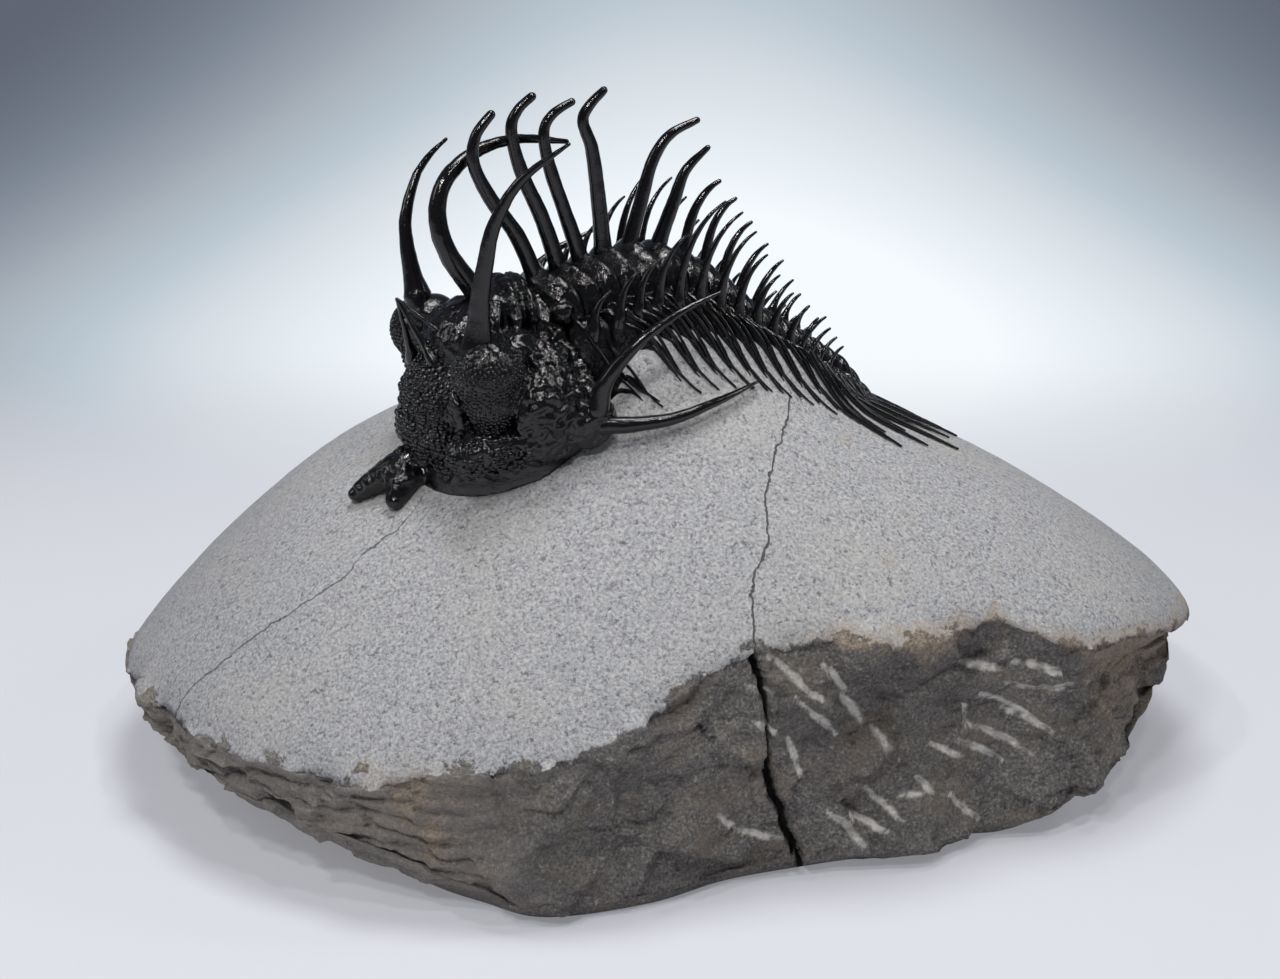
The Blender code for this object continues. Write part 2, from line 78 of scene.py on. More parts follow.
def add_node(tree, kind, inputs=None, **settings):
    """Adds a node, sets what it offers, and gives its sockets a value or a link."""
    node = tree.nodes.new(kind)
    for name, value in settings.items():
        setattr(node, name, value)
    for key, value in (inputs or {}).items():
        socket = find_socket(node.inputs, key)
        if isinstance(value, bpy.types.NodeSocket):
            tree.links.new(value, socket)
        else:
            socket.default_value = value
    return node


def mesh_piece(name, points, faces, finish, smooth=True):
    """An object at the origin, from points in millimetres and faces that point outwards."""
    mesh = bpy.data.meshes.new(name)
    mesh.from_pydata((np.asarray(points, float) * MM).tolist(), [], faces)
    mesh.validate()
    shape = bmesh.new()
    shape.from_mesh(mesh)
    bmesh.ops.recalc_face_normals(shape, faces=shape.faces)
    shape.to_mesh(mesh)
    shape.free()
    if smooth:
        mesh.shade_smooth()
    mesh.materials.append(finish)
    piece = bpy.data.objects.new(name, mesh)
    bpy.context.scene.collection.objects.link(piece)
    return piece


def write_values(mesh, name, values):
    """Keeps one number for each point of a mesh, for a material to read."""
    layer = mesh.attributes.new(name, "FLOAT", "POINT")
    layer.data.foreach_set("value", np.asarray(values, np.float32))


def triangle_count(mesh):
    return sum(len(face.vertices) - 2 for face in mesh.polygons)


print("limestone grey as linear light:", [round(c, 3) for c in linear("a9a9ab")[:3]])

# %% [markdown]
# ## Natural roughness
#
# Stone and fossil need bumps that never repeat but come out the same in each run. Three functions make them
# for whole arrays of points at once: wandering heights, sharp ridges, and the flat tilted chips that
# limestone breaks into. Each takes a size in millimetres and a seed. Three more shape a form: an even rise,
# a soft step and a bell.

# %% Roughness functions
TURNED = np.array([[0.36, 0.48, -0.80], [-0.80, 0.60, 0.00], [0.48, 0.64, 0.60]])


def fixed_random(cells, seed):
    """A number from -1 to 1 for each whole-number cell, always the same for the same seed."""
    mixed = cells[..., 0] * 73856093 ^ cells[..., 1] * 19349663 ^ cells[..., 2] * 83492791 ^ seed * 40503
    mixed = ((mixed ^ (mixed >> 13)) * 1274126177) & 0xFFFFFFFF
    mixed = (mixed ^ (mixed >> 15)) & 0xFFFF
    return mixed / 32767.5 - 1.0


def one_octave(places, seed):
    cells = np.floor(places).astype(np.int64)
    share = places - cells
    share = share**3 * (share * (share * 6 - 15) + 10)
    total = 0.0
    for corner in product((0, 1), repeat=3):
        weight = np.prod(np.where(corner, share, 1 - share), axis=-1)
        total = total + weight * fixed_random(cells + np.array(corner), seed)
    return total


def wander(points, size, seed, octaves=3, keep=0.5):
    """Smooth wandering heights from about -1 to 1. size is the width of the widest lump."""
    places = np.asarray(points, float) / size
    total = 0.0
    strength = 1.0
    whole = 0.0
    for k in range(octaves):
        total = total + strength * one_octave(places, seed + 7 * k)
        whole += strength
        strength *= keep
        places = places @ TURNED * 2.03
    return total / whole


def ridges(points, size, seed, octaves=3):
    """Sharp crests between rounded hollows, from 0 to 1."""
    return 1 - np.abs(wander(points, size, seed, octaves)) * 2


def chips(points, size, seed):
    """Flat tilted faces side by side, as broken stone has them."""
    points = np.asarray(points, float)
    cells = np.floor(points / size).astype(np.int64)
    nearest = np.full(points.shape[:-1], 1e9)
    height = np.zeros(points.shape[:-1])
    for step in product((-1, 0, 1), repeat=3):
        cell = cells + np.array(step)
        jitter = np.stack([fixed_random(cell, seed + k) for k in range(3)], axis=-1)
        away = points - (cell + 0.5 + 0.45 * jitter) * size
        distance = (away**2).sum(axis=-1)
        tilt = np.stack([fixed_random(cell, seed + 10 + k) for k in range(3)], axis=-1)
        here = (away * tilt).sum(axis=-1) / size + 0.5 * fixed_random(cell, seed + 20)
        closer = distance < nearest
        nearest = np.where(closer, distance, nearest)
        height = np.where(closer, here, height)
    return height


def rise(value, low, high):
    """0 at low, 1 at high and an even rise between them. low may be the larger one."""
    return np.clip((value - low) / (high - low), 0, 1)


def soft_step(value, place, softness):
    """A soft step from 0 to 1 at a place, or from 1 to 0 where softness is negative."""
    return 1 / (1 + np.exp((place - value) / softness))


def bell(value, middle, width):
    """1 at the middle and nearly 0 at twice the width from it."""
    return np.exp(-(((value - middle) / width) ** 2))


sample = wander(np.mgrid[0:9, 0:9, 0:9].reshape(3, -1).T * 0.7, 2.0, 5)
print("wandering heights run from", round(float(sample.min()), 2), "to", round(float(sample.max()), 2))

# %% [markdown]
# ## The real sizes
#
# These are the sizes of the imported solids. The block is a dome over an irregular outline, with a low mound
# left under the animal. The animal lies on a line turned 25 degrees from the block's long side, so its
# places are given as s along it towards the tail, t across it, and z above the table.

# %% Sizes of the block
STONE_LENGTH = 122.0
STONE_DEPTH = 87.0
DOME_CENTRE = (-3.5, -4.0)
DOME_HEIGHT = 45.0
DOME_FALL = {"left": 0.0100, "right": 0.0064, "front": 0.0165, "back": 0.0085}
MOUND_HEIGHT = 7.0
MOUND_LENGTH = 16.0
MOUND_WIDTH = 20.0
HEADING = math.radians(25.0)
ANIMAL_CENTRE = (0.0, -4.5)
# Each corner of the outline: x, y, the height of its lower edge, and how far in the foot lies
CORNERS = (
    (-61, -5, 10, 0.70), (-54, -21, 9.5, 0.70), (-44, -33, 9, 0.74), (-30, -41, 7, 0.82),
    (-20, -42.5, 3.5, 0.90), (-12, -43.5, 1.6, 0.95), (-1, -41, 1.6, 0.94), (8, -36.5, 1.6, 0.92),
    (19, -33.5, 2, 0.90), (29, -30.5, 2, 0.90), (36, -26.5, 2, 0.90), (44, -25, 3, 0.88),
    (53, -18, 7, 0.80), (60, -8, 12, 0.72), (61.5, 4, 12, 0.68), (57, 20, 10, 0.70),
    (44, 34, 8, 0.74), (22, 42, 6, 0.80), (-5, 43.5, 5, 0.82), (-30, 40, 7, 0.78),
    (-50, 28, 9, 0.72), (-60, 11, 10, 0.70),
)
# What the solid leaves out: a low swelling of the dome, as x, y, width and height
SWELLING = (-40, 15, 17, 1.7)
# The stone left standing between the ribs: place, width and height beside the midline, and its two ends
RIB_STONE = (9.1, 2.3, 4.0)
RIB_STONE_ENDS = (-8.8, 17.0)


def along_animal(x, y):
    """Places on the table as distances along and across the animal."""
    dx = x - ANIMAL_CENTRE[0]
    dy = y - ANIMAL_CENTRE[1]
    s = dx * math.cos(HEADING) + dy * math.sin(HEADING)
    return s, dx * math.sin(HEADING) - dy * math.cos(HEADING)


def stone_top(x, y):
    """Height of the prepared dome over any place on the table."""
    dx = x - DOME_CENTRE[0]
    dy = y - DOME_CENTRE[1]
    fall_x = np.where(dx < 0, DOME_FALL["left"], DOME_FALL["right"])
    fall_y = np.where(dy < 0, DOME_FALL["front"], DOME_FALL["back"])
    height = DOME_HEIGHT - fall_x * dx * dx - fall_y * dy * dy
    s, t = along_animal(x, y)
    height = height + MOUND_HEIGHT * bell(s, 0, MOUND_LENGTH) * bell(t, 0, MOUND_WIDTH)
    middle_x, middle_y, wide, high = SWELLING
    height = height + high * bell(x, middle_x, wide) * bell(y, middle_y, wide)
    place, wide, high = RIB_STONE
    begin, end = RIB_STONE_ENDS
    along = soft_step(s, begin, 0.9) * soft_step(s, end, -1.5) * (1 + 0.3 * bell(s, -4.5, 4))
    return height + high * bell(np.abs(t), place, wide) * along


def on_block(s, t, z):
    """Places given along, across and above the animal, in the block's own axes."""
    s, t, z = np.broadcast_arrays(np.asarray(s, float), t, z)
    x = ANIMAL_CENTRE[0] + s * math.cos(HEADING) + t * math.sin(HEADING)
    y = ANIMAL_CENTRE[1] + s * math.sin(HEADING) - t * math.cos(HEADING)
    return np.stack([x, y, z], axis=-1)


def ground(s, t):
    """Height of the stone under a place on the animal."""
    place = on_block(s, t, 0.0)
    return stone_top(place[..., 0], place[..., 1])


print("stone under the middle of the animal:", round(float(ground(0, 0)), 1), "mm")

# %% [markdown]
# ## Stone finishes
#
# One material covers the block, because on the real stone the two finishes run into each other. The blasted
# dome is pale blue-grey with dark and yellowish specks about half a millimetre wide. The broken sides are
# dark grey-brown with a tan weathered crust under the rim and chalky tool marks. Values kept on the mesh's
# points say where each one shows, and noise of real size frays the border between them.

# %% Limestone
def noise_node(tree, place, size_mm, detail=3.0, rough=0.55, **more):
    """Noise whose lumps are about size_mm wide."""
    return add_node(
        tree, "ShaderNodeTexNoise",
        {"Vector": place, "Scale": 1.0 / (size_mm * MM), "Detail": detail, "Roughness": rough, **more},
    )


def ramp_node(tree, value, *stops):
    """Turns a value into a colour: stops are (place, web colour)."""
    node = add_node(tree, "ShaderNodeValToRGB", {"Fac": value})
    points = node.color_ramp.elements
    while len(points) < len(stops):
        points.new(0.5)
    for point, (place, web) in zip(points, stops):
        point.position = place
        point.color = linear(web)
    return node.outputs["Color"]


def step_node(tree, value, low, high):
    """0 below low, 1 above high, and an even rise between them."""
    given = {"Value": value, "From Min": low, "From Max": high}
    return add_node(tree, "ShaderNodeMapRange", given, interpolation_type="SMOOTHSTEP").outputs["Result"]


def maths(tree, operation, a, b=0.5):
    return add_node(tree, "ShaderNodeMath", {0: a, 1: b}, operation=operation).outputs[0]


def mix_colours(tree, share, a, b, blend="MIX"):
    node = add_node(tree, "ShaderNodeMix", data_type="RGBA", blend_type=blend)
    for socket, value in ((node.inputs[0], share), (node.inputs[6], a), (node.inputs[7], b)):
        if isinstance(value, bpy.types.NodeSocket):
            tree.links.new(value, socket)
        else:
            socket.default_value = value
    return node.outputs[2]


def tint(tree, colour, mask, strength, web):
    """A colour with another laid over it where a mask allows, no more strongly than told."""
    return mix_colours(tree, maths(tree, "MULTIPLY", mask, strength), colour, linear(web))


def frayed(tree, value, noise, amount):
    """A value pushed up and down by noise, so that its border is ragged."""
    push = maths(tree, "MULTIPLY", maths(tree, "SUBTRACT", noise, 0.5), amount)
    return maths(tree, "ADD", value, push)


def vector_maths(tree, operation, a, b):
    return add_node(tree, "ShaderNodeVectorMath", {0: a, 1: b}, operation=operation).outputs[0]


def scaled(tree, vector, scale):
    return add_node(tree, "ShaderNodeVectorMath", {0: vector, "Scale": scale}, operation="SCALE").outputs[0]


def kept_value(tree, name):
    return add_node(tree, "ShaderNodeAttribute", attribute_name=name).outputs["Fac"]


def object_place(tree):
    return add_node(tree, "ShaderNodeTexCoord").outputs["Object"]


def set_bump(tree, shader, height, distance_mm, strength=1.0):
    given = {"Strength": strength, "Distance": distance_mm * MM, "Height": height}
    bump = add_node(tree, "ShaderNodeBump", given)
    tree.links.new(bump.outputs["Normal"], shader.inputs["Normal"])


def new_material(name):
    made = bpy.data.materials.new(name)
    made.use_nodes = True
    return made, made.node_tree, made.node_tree.nodes["Principled BSDF"]


def line_mask(tree, along, across, table, half_width):
    """1 on a thin line through a table of (along, across) places in millimetres, and 0 beside it."""
    first, last = table[0][0], table[-1][0]
    low = min(row[1] for row in table)
    high = max(row[1] for row in table)
    given = {"Value": along, "From Min": first * MM, "From Max": last * MM}
    share = add_node(tree, "ShaderNodeMapRange", given).outputs["Result"]
    curve = add_node(tree, "ShaderNodeFloatCurve", {"Value": share})
    points = curve.mapping.curves[0].points
    while len(points) < len(table):
        points.new(0.5, 0.5)
    for point, (here, value) in zip(points, table):
        point.location = ((here - first) / (last - first), (value - low) / (high - low))
        point.handle_type = "VECTOR"
    curve.mapping.update()
    given = {"Value": curve.outputs[0], "To Min": low * MM, "To Max": high * MM}
    line = add_node(tree, "ShaderNodeMapRange", given).outputs["Result"]
    away = maths(tree, "ABSOLUTE", maths(tree, "SUBTRACT", across, line))
    on_line = maths(tree, "SUBTRACT", 1.0, step_node(tree, away, half_width * 0.4 * MM, half_width * MM))
    begun = maths(tree, "GREATER_THAN", share, 0.001)
    unfinished = maths(tree, "LESS_THAN", share, 0.999)
    return maths(tree, "MULTIPLY", on_line, maths(tree, "MULTIPLY", begun, unfinished))


# Name: size of the widest lump in millimetres, detail, roughness
STONE_NOISES = {
    "fray": (4.0, 7, 0.68), "grain": (0.34, 3, 0.65), "flecks": (0.8, 3, 0.75), "cloud": (14, 4, 0.6),
}
DOME_GRAINS = ((0.30, "6e6e73"), (0.44, "98989b"), (0.56, "aaaaab"), (0.74, "c8c6c3"))
SIDE_GRAINS = ((0.26, "413f3f"), (0.46, "716e6b"), (0.60, "918c87"), (0.80, "c9c3bb"))
CRUST_GRAINS = ((0.3, "7d6f60"), (0.55, "a39482"), (0.75, "beb1a2"))
LAYER_STRETCH = (0.6, 0.6, 2.2)
BEND = 0.7 * MM
# Hairline cracks over the dome. Left: x and y. Right: y and x
LEFT_CRACK = (
    (-51.6, -23.8), (-49, -24), (-44.3, -24.2), (-38.1, -24.4), (-33.9, -24.3), (-31.5, -23.7),
    (-30.9, -22.6), (-27.2, -21.8), (-25.3, -20.3), (-24.3, -19.1),
)
RIGHT_CRACK = (
    (-36.5, 9.6), (-34.6, 9.6), (-32.5, 9.4), (-30.8, 9.8), (-29.2, 10.9), (-27.7, 11.2), (-23.6, 11.1),
    (-19.5, 12.2), (-15.5, 13.5), (-11.9, 14.1),
)


def bent_place(tree, place):
    """Places moved about by less than a millimetre, so that drawn lines aren't smooth."""
    wobble = noise_node(tree, place, 2.2, 3, 0.6).outputs["Color"]
    bent = vector_maths(tree, "ADD", place, scaled(tree, wobble, 2 * BEND))
    return vector_maths(tree, "SUBTRACT", bent, (BEND, BEND, BEND))


def dome_colour(tree, place, noises, x, broken, hairline):
    """The blasted dome: pale grains, dark and yellowish specks, painted shade towards both ends, and a tan border
    at the rim.
    """
    colour = ramp_node(tree, noises["grain"], *DOME_GRAINS)
    colour = tint(tree, colour, step_node(tree, noises["cloud"], 0.45, 0.75), 0.30, "b8b3a8")
    colour = tint(tree, colour, step_node(tree, noises["flecks"], 0.58, 0.66), 0.65, "50515a")
    warm = noise_node(tree, place, 2.6, 4, 0.8).outputs["Fac"]
    colour = tint(tree, colour, step_node(tree, warm, 0.66, 0.76), 0.45, "a8926a")
    # Painted shade: the dome is darkened in colour towards its left and right ends.
    left_end_shade = step_node(tree, x, -22 * MM, -50 * MM)
    right_end_shade = step_node(tree, x, 40 * MM, 56 * MM)
    colour = tint(tree, colour, maths(tree, "ADD", left_end_shade, right_end_shade), 0.16, "6a6b70")
    crusted = step_node(tree, kept_value(tree, "crust"), 0.2, 0.8)
    near_rim = maths(tree, "MULTIPLY", step_node(tree, broken, 0.12, 0.44), crusted)
    colour = tint(tree, colour, near_rim, 0.55, "a3927c")
    return tint(tree, colour, hairline, 0.85, "3c3936")


def side_colour(tree, place, noises, x):
    """The broken sides: dark grains, layers, a lit left end, tan crust and chalky tool marks."""
    grain, flecks, cloud, fray = (noises[name] for name in ("grain", "flecks", "cloud", "fray"))
    colour = ramp_node(tree, grain, *SIDE_GRAINS)
    blotch = noise_node(tree, place, 7, 5, 0.65).outputs["Fac"]
    colour = tint(tree, colour, step_node(tree, blotch, 0.46, 0.66), 0.55, "7e7264")
    colour = tint(tree, colour, step_node(tree, cloud, 0.60, 0.40), 0.45, "504e4f")
    colour = tint(tree, colour, step_node(tree, flecks, 0.60, 0.70), 0.55, "bdb6ad")
    stretched = vector_maths(tree, "MULTIPLY", place, LAYER_STRETCH)
    bands = noise_node(tree, stretched, 3.2, 6, 0.72).outputs["Fac"]
    colour = tint(tree, colour, step_node(tree, bands, 0.56, 0.66), 0.60, "3b3837")
    colour = tint(tree, colour, step_node(tree, bands, 0.42, 0.34), 0.35, "9b948b")
    colour = tint(tree, colour, step_node(tree, x, -8 * MM, -24 * MM), 0.34, "b5ada4")
    crust = frayed(tree, kept_value(tree, "crust"), fray, 2.0)
    tan = ramp_node(tree, grain, *CRUST_GRAINS)
    crust_share = maths(tree, "MULTIPLY", step_node(tree, crust, 0.38, 0.8), 0.8)
    colour = mix_colours(tree, crust_share, colour, tan)
    chalk = kept_value(tree, "chalk")
    dust = frayed(tree, chalk, fray, 1.5)
    colour = tint(tree, colour, step_node(tree, dust, 0.35, 0.85), 0.45, "bdb8b1")
    streak = frayed(tree, chalk, flecks, 1.1)
    return tint(tree, colour, step_node(tree, streak, 0.50, 1.20), 1.0, "efeae2")


def stone_height(tree, place, noises, edge, hairline):
    """Fine grains all over, coarse crumbs on the sides, and a notch along each hairline crack."""
    sand = noise_node(tree, place, 0.2, 2, 0.8).outputs["Fac"]
    grains = maths(tree, "MULTIPLY", noises["grain"], 0.5)
    height = maths(tree, "ADD", grains, maths(tree, "MULTIPLY", sand, 0.4))
    pits = maths(tree, "MULTIPLY", step_node(tree, noises["flecks"], 0.5, 0.75), -0.35)
    height = maths(tree, "ADD", height, pits)
    crumbs = noise_node(tree, place, 1.5, 6, 0.72).outputs["Fac"]
    coarse = maths(tree, "ADD", maths(tree, "MULTIPLY", crumbs, 7.5), noises["fray"])
    height = maths(tree, "ADD", height, maths(tree, "MULTIPLY", coarse, edge))
    return maths(tree, "SUBTRACT", height, maths(tree, "MULTIPLY", hairline, 1.6))


def make_limestone():
    made, tree, shader = new_material("grey limestone, blasted dome and broken sides")
    place = object_place(tree)
    apart = add_node(tree, "ShaderNodeSeparateXYZ", {0: bent_place(tree, place)})
    x, y = apart.outputs[0], apart.outputs[1]
    noises = {
        name: noise_node(tree, place, size, detail, rough).outputs["Fac"]
        for name, (size, detail, rough) in STONE_NOISES.items()
    }
    broken = frayed(tree, kept_value(tree, "broken"), noises["fray"], 1.7)
    edge = step_node(tree, broken, 0.44, 0.56)
    left_line = maths(tree, "MULTIPLY", line_mask(tree, x, y, LEFT_CRACK, 0.11), 0.75)
    right_line = line_mask(tree, y, x, RIGHT_CRACK, 0.13)
    hairline = maths(tree, "MAXIMUM", left_line, right_line)
    dome = dome_colour(tree, place, noises, x, broken, hairline)
    side = side_colour(tree, place, noises, x)
    colour = mix_colours(tree, edge, dome, side)
    # Painted shade: where the open crack gapes, its inside is coloured nearly black.
    crack_shade = step_node(tree, kept_value(tree, "crack_shade"), 0.35, 0.75)
    colour = mix_colours(tree, crack_shade, colour, linear("1d1b1a"))
    tree.links.new(colour, shader.inputs["Base Color"])
    shader.inputs["Roughness"].default_value = 0.85
    shader.inputs["Specular IOR Level"].default_value = 0.35
    set_bump(tree, shader, stone_height(tree, place, noises, edge, hairline), 0.22, 0.8)
    return made


limestone = make_limestone()
print("made", limestone.name)

# %% [markdown]
# ## Fossil finishes
#
# The shell is black calcite that the preparator left shining. It is nearly mirror-smooth between countless
# tiny wrinkles, so its highlights break into sparks. The spines, warts and lenses
# are a little duller. All are the same mineral, so all come from one function.

# %% Black calcite
def make_calcite(name, smooth, rough, wrinkle_width, wrinkle_height, lighter):
    """Black calcite. Roughness runs from smooth to rough, and wrinkles are sized in millimetres."""
    made, tree, shader = new_material(name)
    place = object_place(tree)
    wrinkle = noise_node(tree, place, wrinkle_width, 4, 0.6, Distortion=0.6).outputs["Fac"]
    patch = noise_node(tree, place, 2.4, 3, 0.6).outputs["Fac"]
    dust = noise_node(tree, place, 0.5, 3, 0.7).outputs["Fac"]
    colour = ramp_node(tree, patch, (0.35, "040405"), (0.62, lighter), (0.80, "1c1613"))
    tree.links.new(colour, shader.inputs["Base Color"])
    dusty = maths(tree, "MULTIPLY", step_node(tree, dust, 0.40, 0.72), rough - smooth)
    tree.links.new(maths(tree, "ADD", dusty, smooth), shader.inputs["Roughness"])
    shader.inputs["IOR"].default_value = CALCITE_IOR
    crease = maths(tree, "ABSOLUTE", maths(tree, "SUBTRACT", wrinkle, 0.5))
    set_bump(tree, shader, crease, wrinkle_height * 4)
    return made


CALCITE_IOR = 1.53
shell = make_calcite("black calcite shell, polished by preparation", 0.05, 0.15, 0.90, 0.035, "0b0a0d")
spine_shell = make_calcite("black calcite spines, softly polished", 0.06, 0.20, 0.60, 0.012, "0c0b0d")
grainy_shell = make_calcite("black calcite, granular lobes and eyes", 0.06, 0.18, 0.50, 0.010, "0c0b0d")
print("made", shell.name, "/", spine_shell.name, "/", grainy_shell.name)

# %% [markdown]
# ## The block of limestone
#
# The block is one skin of points: columns stand around the outline, and rows run from the hidden foot over
# the undercut, up the broken side and over the dome to its peak. The rows repeat the solid's own rings, so
# the detailed stone stays where the solid is. The skin is then pushed in and out along its normals. Flat
# chips and wandering lumps break up the sides, thin layers step back under the left end, each tool mark is
# a shallow groove, and the open crack is pushed in by more than a millimetre.

# %% The block's skin
FRONT_SPACING = 0.31
BACK_SPACING = 1.1
# Marks left by the pen on the broken front: each from x, z to x, z
TOOL_MARKS = (
    (11, 26, 16.5, 21), (14, 21.5, 18.5, 16), (16.5, 24.5, 19, 21), (18.5, 21, 21.5, 16.5),
    (9, 23.5, 11, 22), (9.5, 19.5, 12, 18), (13, 17, 14.5, 12.5), (31.5, 21.5, 35.5, 21),
    (35.5, 19.5, 39.5, 18), (39.5, 18, 44, 18), (37, 21.5, 42.5, 19.5), (33.5, 18.5, 40, 14), (40, 14, 43.5, 11.5),
    (36.5, 15.5, 41.5, 13), (32.5, 15, 40, 10), (31.5, 13.5, 37, 9.5), (29, 13.5, 32, 11.5),
    (32, 17.5, 33, 15), (27, 10.5, 29, 8), (30.5, 7.5, 34.5, 3), (25, 8.5, 27.5, 8.5),
    (21.5, 9.5, 25.5, 5.5), (20, 6.5, 24, 4.5), (17.5, 8, 21.5, 3.5), (6, 9.5, 8, 7), (8, 7, 13.5, 5),
    (22.5, 16, 23.5, 14),
)
# The open crack down the front: height and x, and how wide it gapes there
CRACK_LINE = (
    (0, 15.0), (3.5, 14.5), (5.5, 13.5), (8, 13), (10, 12), (14, 11), (18.5, 11), (23.5, 10.5), (26, 9.5),
    (31, 9.5),
)
CRACK_WIDTH = ((0, 0.6), (4, 0.9), (13, 0.9), (16, 0.45), (21, 0.5), (23, 0.8), (28, 0.95), (31, 0.5))
# The ridge between two broken faces left of the crack
RIDGE_LINE = ((8, -14.5), (10, -11.5), (12.5, -10), (15, -8.5))
# Tan patches left of the crack: x and width, height and half height, strength
CRUST_PATCHES = ((-22, 5, 9, 4.5, 0.75), (-25, 7, 15, 4, 0.7))
CRACK_DEPTH = 1.9
MARK_DEPTH = 0.45
RIM_ROUNDING = 0.9
DOME_ROWS = 44


def catmull(a, b, c, d, u):
    """A smooth curve from b to c, bent by their neighbours a and d."""
    curve = 2 * b + (c - a) * u + (2 * a - 5 * b + 4 * c - d) * u**2 + (3 * b - a - 3 * c + d) * u**3
    return 0.5 * curve


def closed_line(corners, steps):
    """A smooth closed line through the corners, with their other values carried along."""
    rows = np.array(corners, float)
    a, b, c, d = (np.roll(rows, shift, axis=0)[:, None, :] for shift in (1, 0, -1, -2))
    u = (np.arange(steps) / steps)[None, :, None]
    return catmull(a, b, c, d, u).reshape(-1, rows.shape[1])


def stone_columns():
    """x, y, lower edge and foot scale for each column, close together at the front."""
    solid = closed_line(CORNERS, 3)
    low = solid[:, :2].min(axis=0)
    high = solid[:, :2].max(axis=0)
    line = closed_line(CORNERS, 240)
    line[:, :2] = (line[:, :2] - (low + high) / 2) * (STONE_LENGTH, STONE_DEPTH) / (high - low)
    closed = np.vstack([line, line[:1]])
    step = np.linalg.norm(np.diff(closed[:, :2], axis=0), axis=1)
    front = rise(line[:, 1], -4, -18)
    spacing = BACK_SPACING + (FRONT_SPACING - BACK_SPACING) * front
    run = np.concatenate([[0.0], np.cumsum(step / spacing)])
    wanted = np.arange(int(run[-1])) / int(run[-1]) * run[-1]
    return np.stack([np.interp(wanted, run, closed[:, k]) for k in range(4)], axis=1)


def stone_rows(columns):
    """Points of every row from the foot to the peak, and how far below or inside (-) the rim they are."""
    x, y, lower, feet = columns.T
    top = stone_top(x, y)
    waist = feet * 0.35 + 0.635
    stations = (
        (feet, 0 * top), (waist, lower * 0.45), (0 * top + 0.985, lower),
        (0 * top + 0.992, (lower + top) / 2), (0 * top + 1.0, top - RIM_ROUNDING),
    )
    rows = [(feet * 0.5, 0 * top, 99 + 0 * top)]
    for (scale_a, z_a), (scale_b, z_b), count in zip(stations, stations[1:], (9, 11, 38, 36)):
        for k in range(count):
            share = k / count
            z = z_a + (z_b - z_a) * share
            rows.append((scale_a + (scale_b - scale_a) * share, z, top - z))
    radius = np.hypot(x, y)
    for k in range(DOME_ROWS):
        scale = 1 - 0.985 * (k / (DOME_ROWS - 1)) ** 1.3 + 0 * top
        inside = (1 - scale) * radius
        z = stone_top(x * scale, y * scale) - RIM_ROUNDING * np.exp(-inside / 1.3)
        rows.append((scale, z, -inside))
    points = np.array([np.stack([x * scale, y * scale, z], axis=1) for scale, z, _ in rows])
    return points, np.array([below for _, _, below in rows])


def grid_normals(points):
    """Outward normals of a grid of points whose columns run round."""
    down = np.gradient(points, axis=0)
    round_ = (np.roll(points, -1, axis=1) - np.roll(points, 1, axis=1)) / 2
    normal = np.cross(round_, down)
    normal /= np.maximum(np.linalg.norm(normal, axis=2, keepdims=True), 1e-9)
    return normal


def soft_chips(points, size, seed):
    """Chips with their borders worn a little, so that they don't end in teeth."""
    shift = size * 0.035
    moves = ((0, 0, 0), (shift, shift, 0), (-shift, 0, shift), (0, -shift, -shift))
    return sum(chips(points + np.array(move), size, seed) for move in moves) / len(moves)


def mark_distance(x, z, marks):
    """Distance in the front face from each point to the nearest mark, and the place along that mark."""
    best = np.full(x.shape, 1e9)
    place = np.zeros(x.shape)
    for ax, az, bx, bz in marks:
        length = math.hypot(bx - ax, bz - az)
        share = np.clip(((x - ax) * (bx - ax) + (z - az) * (bz - az)) / length**2, 0, 1)
        away = np.hypot(x - ax - (bx - ax) * share, z - az - (bz - az) * share)
        closer = away < best
        best = np.where(closer, away, best)
        place = np.where(closer, share, place)
    return best, place


def read_table(table, place):
    return np.interp(place, [row[0] for row in table], [row[1] for row in table])


def broken_relief(points, normal, at_front):
    """How far broken stone stands out: lumps, flat chips, thin layers, a ridge and a hollow."""
    x, z = points[..., 0], points[..., 2]
    bend = np.stack([wander(points, 5, seed) for seed in (31, 37, 41)], axis=-1)
    warped = points + 0.8 * bend
    relief = 1.3 * wander(points, 15, 3) + 1.3 * soft_chips(warped * (1, 1, 1.15), 9.0, 11)
    relief += 0.5 * soft_chips(warped * (1, 1, 1.4), 3.4, 17) + 0.22 * wander(points, 1.6, 23, 3)
    relief += 0.14 * ridges(points, 1.1, 29, 3)
    rough_ends = rise(np.abs(x - 8), 30, 50)
    relief += rough_ends * (0.9 * soft_chips(warped * (1, 1, 2.0), 5.0, 53) - 0.2)
    layers = (z * 0.55 + 0.8 * wander(points * (0.5, 0.5, 0.2), 5, 61)) % 1.0
    under_left = rise(x, -14, -22) * rise(z, 17, 13)
    relief += under_left * (0.9 * layers * (1 - layers**6) - 0.45)
    from_ridge = x - read_table(RIDGE_LINE, z)
    relief += at_front * 1.3 * bell(from_ridge, 0, 2.6) * rise(z, 3, 6) * rise(z, 18, 15)
    relief -= at_front * 0.9 * bell(x, 24, 9) * bell(z, 14, 6)
    underside = rise(normal[..., 2], 0, -0.5)
    return relief * (1 - 0.55 * underside)


